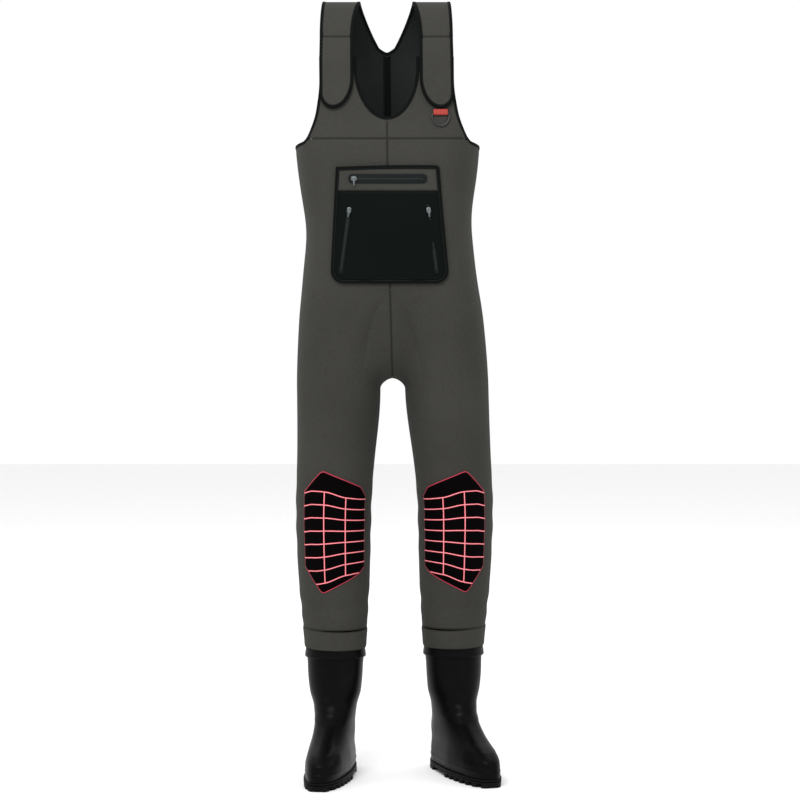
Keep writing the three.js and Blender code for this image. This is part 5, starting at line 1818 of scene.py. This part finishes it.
@dataclass
class Leg(Assembly):
    """A leg: the upper leg from the hip line, the lower leg over the knee, and the cuff."""

    side: Side
    body: BodyForm = field(default_factory=BodyForm)
    split: float = 650.0
    columns: int = 100
    seam_share: float = 0.3

    def __post_init__(self) -> None:
        """Takes the leg's own form."""
        self.form = LegForm(self.side, self.body)

    def turn(self, u: float) -> float:
        """The angle round the leg at a share of its columns."""
        return lerp(-0.2, 1.8, u) * math.pi

    def rim(self, u: float) -> tuple[Vector, Vector]:
        """The upper edge of the leg: the hip line, then the seam between the legs.

        Args:
            u: share of the way round, the hip line first.

        Returns:
            The point in metres and the direction in which the cloth arrives there.
        """
        body, sign = self.body, self.side.value
        outer = 1 - self.seam_share
        inward = Vector((-sign, 0, 0))
        if u <= outer:
            t = crowd(u / outer, 0.02, 0.05)
            angle = lerp(0.0008, math.pi - 0.0008, t)
            forward = body.section(math.sin(angle)) * math.copysign(1, math.cos(angle))
            height = body.hip_height(forward)
            ahead = math.cos(angle) > 0
            run = body.front_run(height) if ahead else body.back_run(height)
            on_side = sign * (angle if ahead else math.pi - angle)
            point = body.point(on_side, run)
            up = (body.point(on_side, run + (1 if ahead else -1)) - point).normalized()
            corner = max(smooth(1 - t / 0.16), smooth(1 - (1 - t) / 0.16)) * 0.5
            return point, up.lerp(Vector((0, 0, 1)), 2 * corner).lerp(inward, corner).normalized()
        t = (u - outer) / self.seam_share
        sweep = math.pi * t
        deep, ahead = body.back(813), body.front(956)
        y = (deep * (1 + math.cos(sweep)) - ahead * (1 - math.cos(sweep))) / 2
        rise, reach = (32, deep) if y > 0 else (175, ahead)
        height = 781 + rise * (1 - max(0.0, 1 - (abs(y) / reach) ** 2.6) ** (1 / 2.6))
        corner = max(smooth(1 - t / 0.16), smooth(1 - (1 - t) / 0.16)) * 0.5
        point = place(body.centre(height) + sign * 0.15, y, height)
        return point, inward.lerp(Vector((0, 0, 1)), corner).normalized()

    def upper(self) -> None:
        """The upper leg, one cloth from the hip line to above the knee."""
        form, body = self.form, self.body
        low, high = self.split, 760.3
        share = 0.32

        def put(u: float, v: float) -> Vector:
            angle = self.turn(u)
            if v <= share:
                return form.point(angle, lerp(low, high, v / share))
            start = form.point(angle, high)
            end, arrive = self.rim(u)
            span = (end - start).length
            leave = (form.point(angle, high) - form.point(angle, high - 1)).normalized() * span * 0.9
            arrive = arrive * span * 0.9
            t = (v - share) / (1 - share)
            t = 1 - (1 - t) ** 1.35
            a, b = 1 - 3 * t * t + 2 * t**3, 3 * t * t - 2 * t**3
            point = start * a + leave * (t - 2 * t * t + t**3) + end * b + arrive * (t**3 - t * t)
            away = abs(point.x / MM - body.centre((point.z - SOLES) / MM))
            if point.z > place(0, 0, 775).z and away < 5:
                sink = 1.1 * (1 - smooth(away / 4.5))
                out = (point - Vector((point.x, 0, place(0, 0, 860).z))).normalized()
                point = point - out * (sink * MM) if point.y < -0.06 or point.y > 0.06 else point
            return point

        def edge(u: float, v: float) -> float:
            point = put(u, v)
            height = (point.z - SOLES) / MM
            centre = abs(point.x / MM - body.centre(height)) if height > 770 else FAR_FROM_SEAM
            inner = abs(u - 0.85) * TURN * form.half(min(height, 760)) if height < 770 else FAR_FROM_SEAM
            return min(centre, inner)

        work = Workpiece(f"upper_leg_{self.side.word}_cloth")
        work.patch(self.columns, 74, put, (0.56, 0.31), edge)
        work.weld()
        work.face_away(self.form_axis)
        area = cloth_area(work)
        pal = self.palette
        piece = work.finish((pal.neoprene, pal.lining, pal.foam), NEOPRENE - 0.2, 1, 2)
        cx = body.centre(781)
        start = place(cx, 0, 781)
        end = start + Vector((self.side.value * 0.28, 0, -1)) * 0.130
        nodes = (f"hip_{self.side.word}", f"thigh_{self.side.word}")
        self.keep(piece, "bib", nodes, "neoprene", (f"thigh_{self.side.word}", start, end))
        self.cut(piece, fit_flat(area, 0.56, 0.31), area, "stretched", (f"front_panel_{self.side.word}",))

    def form_axis(self, point: Vector) -> Vector:
        """The leg's axis beside a point, held to the hip's middle above the crotch."""
        x, y = self.form.middle(min((point.z - SOLES) / MM, 760))
        return Vector((x * MM * 0.9, y * MM, min(point.z, place(0, 0, 860).z)))

    def lower(self) -> None:
        """The lower leg, one cloth over the knee down into the cuff."""
        form = self.form
        bottom = 289.0

        def put(u: float, v: float) -> Vector:
            height = lerp(bottom, self.split, v)
            return form.point(self.turn(u), height, -1.0 * (1 - smooth((height - 284) / 4)))

        def edge(u: float, v: float) -> float:
            height = lerp(bottom, self.split, v)
            return min(abs(u - 0.85) * TURN * form.half(height), height - 290.0)

        work = Workpiece(f"lower_leg_{self.side.word}_cloth")
        work.patch(self.columns, 150, put, (0.49, 0.36), edge)
        work.weld()
        work.face_away(form.inside)
        area = cloth_area(work)
        pal = self.palette
        piece = work.finish((pal.neoprene, pal.lining, pal.foam), NEOPRENE - 0.2, 1, 2)
        nodes = (f"knee_sleeve_{self.side.word}", f"shin_{self.side.word}")
        self.keep(piece, f"thigh_{self.side.word}", nodes, "neoprene", self.knee)
        self.cut(piece, fit_flat(area, 0.49, 0.36), area, "stretched", (f"upper_leg_{self.side.word}_cloth",))

    @property
    def knee(self) -> tuple[str, Vector, Vector]:
        """Where the leg bends at the knee."""
        x, y = self.form.middle(500)
        return f"shin_{self.side.word}", place(x, y, 600), place(x, y, 400)

    def cuff(self) -> None:
        """The turned cuff, with a slanting upper edge and a rounded hem over the boot."""
        form = self.form

        def slant(angle: float) -> float:
            return 4.0 * math.cos(angle) - 2.0 * math.sin(angle)

        def put(u: float, v: float) -> Vector:
            angle = self.turn(u)
            height = lerp(250 - 0.3 * slant(angle), 291 - slant(angle), v)
            swell = 1.7 * (1 - abs(2 * v - 1) ** 8)
            return form.point(angle, height, 0.15 + swell)

        work = Workpiece(f"cuff_{self.side.word}_cloth")
        work.patch(self.columns, 30, put, (0.41, 0.041), lambda _u, v: min((1 - v) * 41, v * 41 + 0.5))
        work.weld()
        work.face_away(form.inside)
        area = cloth_area(work)
        pal = self.palette
        piece = work.finish((pal.neoprene, pal.lining, pal.neoprene), NEOPRENE, 1, 2, 0.6)
        self.keep(piece, f"shin_{self.side.word}", (f"cuff_{self.side.word}",), "neoprene")
        under = (f"lower_leg_{self.side.word}_cloth",)
        self.cut(piece, fit_flat(area, 0.41, 0.042), area, "stretched", under)

    def build(self) -> None:
        """Builds the leg's cloth."""
        self.upper()
        self.lower()
        self.cuff()


@dataclass
class KneePad(Assembly):
    """A quilted knee pad with its printed grid and border."""

    leg: Leg
    top: float = 600.0
    bottom: float = 366.0
    outer: float = 48.0
    inner: float = 55.0
    body_lift: float = 3.7
    puff: float = 1.7
    columns: tuple[float, float] = (0.345, 0.647)
    rows: int = 7

    def __post_init__(self) -> None:
        """Drafts the outline and the first and last printed rows."""
        top, bottom = self.top, self.bottom
        self.upper = rounded_line(((0, top - 40), (0.29, top + 3), (0.90, top - 31), (1, top - 50)), 0.05)
        foot = ((0, bottom + 50), (0.29, bottom - 3), (0.90, bottom + 36), (1, bottom + 48))
        self.lower = rounded_line(foot, 0.05)
        a, b = self.columns
        self.first = Profile((0, 558.5), (0.5 * a, 563.5), (a, 562.5), (b, 550.7), (1, 546.0))
        self.last = Profile((0, 381.0), (0.5 * a, 381.0), (a, 384.4), (b, 398.9), (1, 403.5))

    def angle(self, share: float) -> float:
        """The angle round the leg at a share across the pad."""
        return math.radians(lerp(self.outer, -self.inner, share))

    def row(self, share: float, height: float) -> float:
        """Which printed row a place is at: 0 on the first and the number of gaps on the last."""
        first, last = self.first(share), self.last(share)
        return (first - height) / (first - last) * self.rows

    def column(self, share: float) -> float:
        """Which printed column a share across is at."""
        a, b = self.columns
        if share < a:
            return share / a
        if share < b:
            return 1 + (share - a) / (b - a)
        return 2 + (share - b) / (1 - b)

    def lift(self, share: float, height: float) -> float:
        """How far the pad's face stands off the leg: full blocks, sunk along the print and at the rim."""
        span = self.upper(share) - self.lower(share)
        across = min(share, 1 - share) * 145
        along = min(height - self.lower(share), self.upper(share) - height) if span else 0
        rim = math.sqrt(clamp(min(across, along) / 9))
        row, column = self.row(share, height), self.column(share)
        blocks = 1.0
        if -0.35 < row < self.rows + 0.35:
            near_row = abs(row - round(row)) if 0 <= round(row) <= self.rows else 1.0
            near_column = abs(column - round(column)) if 0.5 < column < 2.5 and 0 <= row <= self.rows else 1.0
            blocks = min(smooth(near_row / 0.2), smooth(near_column / 0.12))
        return 0.6 + rim * (self.body_lift - 0.6 + self.puff * blocks)

    def build(self) -> None:
        """Builds the pad, the grid and the border."""
        leg, pal = self.leg, self.palette
        word = leg.side.word

        def spot(u: float, v: float) -> tuple[float, float]:
            share = crowd(u, 0.05, 0.08)
            return share, lerp(self.lower(share), self.upper(share), crowd(v, 0.03, 0.06))

        def face(u: float, v: float) -> Vector:
            share, height = spot(u, v)
            return leg.form.point(self.angle(share), height, self.lift(share, height))

        def back(u: float, v: float) -> Vector:
            share, height = spot(u, v)
            rim = u < 1e-6 or u > 1 - 1e-6 or v < 1e-6 or v > 1 - 1e-6
            return leg.form.point(self.angle(share), height, self.lift(share, height) if rim else 0.45)

        work = Workpiece(f"knee_pad_{word}_quilt")
        work.patch(88, 132, face, (0.145, 0.234))
        work.patch(88, 132, back, (0.145, 0.234))
        work.weld(2e-6)
        work.close()
        pad = work.finish((pal.knee,), sharp=70)
        self.keep(pad, f"thigh_{word}", (f"knee_pad_{word}",), "kneepad", leg.knee)

        grid = Workpiece(f"knee_print_{word}")
        for k in range(self.rows + 1):
            start, stop = (0.06, 0.95) if k == self.rows else (0.008, 0.992)
            places = [lerp(start, stop, i / 56) for i in range(57)]
            line = [(s, lerp(self.first(s), self.last(s), k / self.rows)) for s in places]
            inside = [(s, h) for s, h in line if self.lower(s) + 2 < h < self.upper(s) - 2]
            grid.strip(self.routed(inside), 1.35, 0.75, sides=10, square=2.6)
        for s in self.columns:
            places = [lerp(self.first(s), self.last(s), i / 90) for i in range(91)]
            grid.strip(self.routed([(s, h) for h in places]), 1.35, 0.8, sides=10, square=2.6)
        piece = grid.finish((pal.grid,), sharp=60)
        self.keep(piece, f"thigh_{word}", (), "kneepad", leg.knee)

        border = Workpiece(f"knee_border_{word}")
        edge = [(0.004, h) for h in self.climb(0.004, True)]
        edge += [(i / 60, self.upper(i / 60)) for i in range(1, 60)]
        edge += [(0.996, h) for h in self.climb(0.996, False)]
        edge += [(i / 60, self.lower(i / 60)) for i in range(59, 0, -1)]
        border.strip(self.routed(edge, 0.9), 1.3, 0.9, closed=True, sides=10, square=2.4)
        piece = border.finish((pal.border,), sharp=60)
        self.keep(piece, f"thigh_{word}", (), "kneepad", leg.knee)

    def climb(self, share: float, up: bool) -> list[float]:
        """Heights up or down a side of the pad."""
        low, high = self.lower(share), self.upper(share)
        heights = [lerp(low, high, i / 50) for i in range(51)]
        return heights if up else heights[::-1]

    def routed(
        self, line: Sequence[tuple[float, float]], lift: Optional[float] = None
    ) -> list[tuple[Vector, Vector]]:
        """A printed line on the pad's face, from its shares across and heights."""
        form = self.leg.form
        made = []
        for share, height in line:
            angle = self.angle(share)
            rise = self.lift(share, height) + 0.15 if lift is None else lift
            made.append((form.point(angle, height, rise), form.normal(angle, height)))
        return made


@dataclass
class Boot(Assembly):
    """A rubber boot: moulded upper, collar, insole and cleated outsole."""

    side: Side
    leg: Leg
    cleats: int = 7
    cleat_length: float = 11.0
    cleat_depth: float = 8.0
    proud: float = 3.0
    half_sole: float = 60.0

    def __post_init__(self) -> None:
        """Takes the boot's own form."""
        self.form = BootForm(self.side, self.leg.form)

    def build(self) -> None:
        """Builds the boot."""
        self.upper()
        self.collar()
        self.insole()
        self.outsole()

    def upper(self) -> None:
        """The upper, one moulded wall from the sole to inside the cuff."""
        form, axes = self.form, self.form.axes

        def put(u: float, v: float) -> Vector:
            angle = TURN * u
            if v < 0.06:
                share = v / 0.06
                rim = form.point(angle, 17.0)
                return axes @ Vector((rim.x * share, rim.y * share, (16.35 + 0.65 * share**4) * MM))
            if v < 0.62:
                height = lerp(17.0, 110.0, (v - 0.06) / 0.56)
            else:
                height = lerp(110.0, 274.8, (v - 0.62) / 0.38)
            return axes @ form.point(angle, height)

        work = Workpiece(f"boot_{self.side.word}_upper")
        work.patch(112, 130, put, (0.36, 0.30))
        work.weld(2e-6)
        low = place(0, 0, 45).z

        def inside(point: Vector) -> Vector:
            local = axes.inverted() @ point
            if point.z < low:
                return axes @ Vector((0, clamp(local.y, -0.15, 0.03), max(local.z, 0.03)))
            return axes @ Vector((0, clamp(local.y, -0.12, 0.0) if local.z < 0.08 else 0, local.z))

        work.face_away(inside)
        piece = work.finish((self.palette.rubber, self.palette.lining, self.palette.rubber), 3.3, 1, 2)
        word = self.side.word
        nodes = (f"boot_shaft_{word}", f"boot_ankle_{word}", f"boot_foot_{word}")
        centre = axes.translation
        start, end = (Vector((centre.x, centre.y, place(0, 0, height).z)) for height in (150, 85))
        self.keep(piece, f"shin_{word}", nodes, "rubber", (f"foot_{word}", start, end))

    def collar(self) -> None:
        """The rolled collar round the top of the boot."""
        form, axes = self.form, self.form.axes
        work = Workpiece(f"boot_{self.side.word}_collar_band")

        def put(u: float, v: float) -> Vector:
            angle, turn = TURN * u, TURN * v
            c, s = math.cos(turn), math.sin(turn)
            out = -2.7 - 1.9 * math.copysign(abs(c) ** 0.7, c)
            height = 240.8 + 8.8 * math.copysign(abs(s) ** 0.5, s)
            return axes @ form.point(angle, height, out, moulded=False)

        work.patch(96, 24, put, (0.36, 0.02))
        work.weld()
        work.close()
        piece = work.finish((self.palette.rubber,), sharp=70)
        self.keep(piece, f"shin_{self.side.word}", (f"boot_collar_{self.side.word}",), "rubber")

    def plate(self, work: Workpiece, inset: float, low: float, high: float, groove: float = 0.0) -> None:
        """A plate of the sole's outline.

        Args:
            work: the mesh that it goes into.
            inset: how far inside the outline it is, negative for proud of it.
            low: height of its lower face.
            high: height of its upper face.
            groove: depth of the groove round its edge.
        """
        bm, form = work.bm, self.form
        before = set(bm.verts)
        bmesh.ops.create_circle(bm, cap_ends=True, segments=120, radius=1.0)
        rim = [v for v in bm.verts if v not in before]
        for v in rim:
            v.co = form.outline(math.atan2(v.co.x, -v.co.y), -inset, low)
        faces = [f for f in bm.faces if all(v in rim for v in f.verts)]
        levels = [low, lerp(low, high, 0.36), lerp(low, high, 0.5), lerp(low, high, 0.64), high]
        for i, level in enumerate(levels[1:]):
            grown = bmesh.ops.extrude_face_region(bm, geom=faces)["geom"]
            moved = [g for g in grown if isinstance(g, bmesh.types.BMVert)]
            faces = [g for g in grown if isinstance(g, bmesh.types.BMFace)]
            sunk = groove if i == 1 else 0.0
            for v in moved:
                v.co.z = level * MM
                if sunk:
                    v.co.xy = v.co.xy * (1 - sunk / self.half_sole)
                elif i == 2 and groove:
                    v.co.xy = v.co.xy / (1 - groove / self.half_sole)
        for v in bm.verts:
            if v not in before:
                v[work.edge] = FAR_FROM_SEAM

    def cleat(self, work: Workpiece, near: float, far: float, vee: float, inset: float = 0.0) -> None:
        """A cleat across the sole.

        Args:
            work: the mesh that it goes into.
            near: where its back edge is behind the ankle.
            far: where its front edge is.
            vee: how far its middle lies ahead of its ends.
            inset: how far it stays inside the sole's outline.
        """
        form, bm = self.form, work.bm
        low, high = 0.0, self.cleat_depth + 0.6

        def put(u: float, v: float) -> Vector:
            y = lerp(near, far, v)
            reach = 210.0 if y < 0 else 76.0
            y = clamp(y, -reach * 0.985, reach * 0.97)
            x = lerp(-1, 1, u) * form.half_at(y, self.proud - inset)
            return Vector((x, clamp(y + vee * (abs(2 * u - 1) - 0.5), -209, 75.4), high)) * MM

        made = work.patch(16, 4, put, (0.1, 0.01))
        faces = list({f for v in made for f in v.link_faces})
        grown = bmesh.ops.extrude_face_region(bm, geom=faces)["geom"]
        moved = [g for g in grown if isinstance(g, bmesh.types.BMVert)]
        bottom = [g for g in grown if isinstance(g, bmesh.types.BMFace)]
        for v in moved:
            v.co.z = low
        rims = {e for f in bottom for e in f.edges if sum(g in bottom for g in e.link_faces) == 1}
        round_edges(bm, rims, 1.1 * MM, 2)

    def outsole(self) -> None:
        """The outsole: a welt, the plate and its cleats, with a stepped heel."""
        work = Workpiece(f"boot_{self.side.word}_outsole_tread")
        bm = work.bm
        self.plate(work, -self.proud, self.cleat_depth, 16.0, 1.2)
        heel_back, heel_front = 75.4, 4.0
        self.heel(work, heel_front, heel_back)
        pitch = 150 / self.cleats
        for i in range(self.cleats):
            front = -(210 - i * pitch)
            self.cleat(work, front + self.cleat_length, front, 5.0 if 0 < i < self.cleats else 0.0)
        for v in bm.verts:
            v[work.edge] = FAR_FROM_SEAM
        work.weld(1e-7)
        bmesh.ops.transform(bm, matrix=self.form.axes, verts=bm.verts)
        work.close()
        piece = work.finish((self.palette.sole,), sharp=35)
        self.keep(piece, f"foot_{self.side.word}", (f"outsole_{self.side.word}",), "sole")

    def heel(self, work: Workpiece, front: float, back: float) -> None:
        """The heel block: bars parted by grooves."""
        bars = 4
        pitch = (back - front) / bars
        for i in range(bars):
            near = back - i * pitch
            self.cleat(work, near, near - pitch + 3.2, 0.0)
        base = [front + 1.0, back - 3.0]

        def put(u: float, v: float) -> Vector:
            y = lerp(base[0], base[1], v)
            x = lerp(-1, 1, u) * (self.form.half_at(y, self.proud) - 3)
            return Vector((x, y, self.cleat_depth + 0.6)) * MM

        made = work.patch(12, 12, put, (0.1, 0.07))
        faces = list({f for v in made for f in v.link_faces})
        grown = bmesh.ops.extrude_face_region(work.bm, geom=faces)["geom"]
        for v in (g for g in grown if isinstance(g, bmesh.types.BMVert)):
            v.co.z = 2.6 * MM

    def insole(self) -> None:
        """The insole, a thin cushioned plate on the boot's floor."""
        work = Workpiece(f"insole_{self.side.word}_cushion")
        bm, form = work.bm, self.form
        rim = bmesh.ops.create_circle(bm, cap_ends=True, segments=72, radius=1.0)["verts"]
        for v in rim:
            v.co = form.point(math.atan2(v.co.x, -v.co.y), 20.3, 7.0, moulded=False)
        grown = bmesh.ops.extrude_face_region(bm, geom=list(bm.faces))["geom"]
        moved = [g for g in grown if isinstance(g, bmesh.types.BMVert)]
        bmesh.ops.translate(bm, vec=(0, 0, 3.8 * MM), verts=moved)
        for v in bm.verts:
            v[work.edge] = FAR_FROM_SEAM
        rims = [e for e in bm.edges if all(v in moved for v in e.verts)]
        round_edges(bm, rims, 1.2 * MM, 3)
        bmesh.ops.transform(bm, matrix=form.axes, verts=bm.verts)
        work.close()
        piece = work.finish((self.palette.velour,), sharp=50)
        self.keep(piece, f"foot_{self.side.word}", (f"insole_{self.side.word}",), "lining")


# ------------------------------------------------------------------------------------------ studio
@dataclass
class Studio:
    """The floor, soft lights and the camera."""

    palette: Palette
    distance: float = 5.0
    eye: float = 0.95
    aside: float = 0.0267
    tilt: float = 2.4287
    lens: float = 113.9

    def build(self) -> None:
        """Sets up the studio."""
        self.floor()
        self.softbox("key", (-0.6, -2.0, 1.25), (0.0, 0.0, -0.1), (1.6, 1.0), 62)
        self.softbox("fill", (2.4, -3.2, -0.2), (0.0, 0.0, -0.7), (1.6, 2.2), 8)
        self.softbox("wash", (0.0, 2.2, 2.4), (0.0, 1.6, -1.5), (4.5, 3.0), 40)
        self.softbox("edge_left", (2.6, 0.9, -0.4), (0.0, 0.0, -0.7), (0.6, 2.2), 6)
        self.softbox("edge_right", (-2.6, 0.9, -0.4), (0.0, 0.0, -0.7), (0.6, 2.2), 4)
        world = bpy.data.worlds.new("studio_air")
        world.use_nodes = True
        world.node_tree.nodes["Background"].inputs[0].default_value = (1.0, 1.0, 1.0, 1.0)
        world.node_tree.nodes["Background"].inputs[1].default_value = 1.0
        bpy.context.scene.world = world
        bpy.context.scene.view_settings.view_transform = "Standard"
        self.camera()

    def floor(self) -> None:
        """The pale floor, wide enough to be looked at from every side."""
        work = Workpiece("pale_floor")
        reach = 9.0

        def put(u: float, v: float) -> Vector:
            return Vector((lerp(-reach, reach, u), lerp(-reach, reach, v), SOLES))

        work.patch(8, 8, put, (18, 18))
        laid = work.finish((self.palette.paper,), sharp=80)
        laid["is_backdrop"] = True
        log.info("pale floor laid")

    @staticmethod
    def softbox(
        name: str,
        where: tuple[float, float, float],
        aim: tuple[float, float, float],
        size: tuple[float, float],
        power: float,
    ) -> None:
        """A rectangular soft light.

        Args:
            name: what it is called.
            where: its place in metres.
            aim: the point that it faces.
            size: its width and height.
            power: its power in watts.
        """
        light = bpy.data.lights.new(name, "AREA")
        light.shape = "RECTANGLE"
        light.size, light.size_y = size
        light.energy = power
        box = bpy.data.objects.new(name, light)
        box.location = where
        box.rotation_euler = (Vector(aim) - Vector(where)).to_track_quat("-Z", "Y").to_euler()
        bpy.context.scene.collection.objects.link(box)

    def camera(self) -> None:
        """The camera, level with the thighs and a long way off."""
        lens = bpy.data.cameras.new("long_lens")
        lens.lens = self.lens
        lens.sensor_width = 36.0
        lens.clip_end = 60.0
        eye = bpy.data.objects.new("long_lens", lens)
        eye.location = (self.aside, -self.distance, SOLES + self.eye)
        eye.rotation_euler = (math.radians(90 - self.tilt), 0, 0)
        bpy.context.scene.collection.objects.link(eye)
        bpy.context.scene.camera = eye


def write_sizes() -> None:
    """Works out the CAD's box and the visual model's box."""
    bpy.context.view_layer.update()
    boxes = {"cad": CAD_BOX, "visual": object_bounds()}
    {key: [list(corner) for corner in box] for key, box in boxes.items()}


def main() -> None:
    """Builds the waders in order, from the bib down to the boots, and then the studio."""
    logging.basicConfig(level=logging.INFO, format="%(message)s")
    palette = Palette()
    assemblies: list[Assembly] = [Bib(palette), ShoulderStraps(palette), ChestPocket(palette)]
    assemblies += [Zip(palette, place=where) for where in ZipPlace]
    assemblies.append(AccessoryRing(palette))
    for side in Side:
        leg = Leg(palette, side=side)
        assemblies += [leg, KneePad(palette, leg=leg), Boot(palette, side=side, leg=leg)]
    for assembly in assemblies:
        assembly.build()
        log.info("%s: %d pieces", type(assembly).__name__, len(assembly.pieces))
    Studio(palette).build()
    write_sizes()


if __name__ == "__main__":
    main()
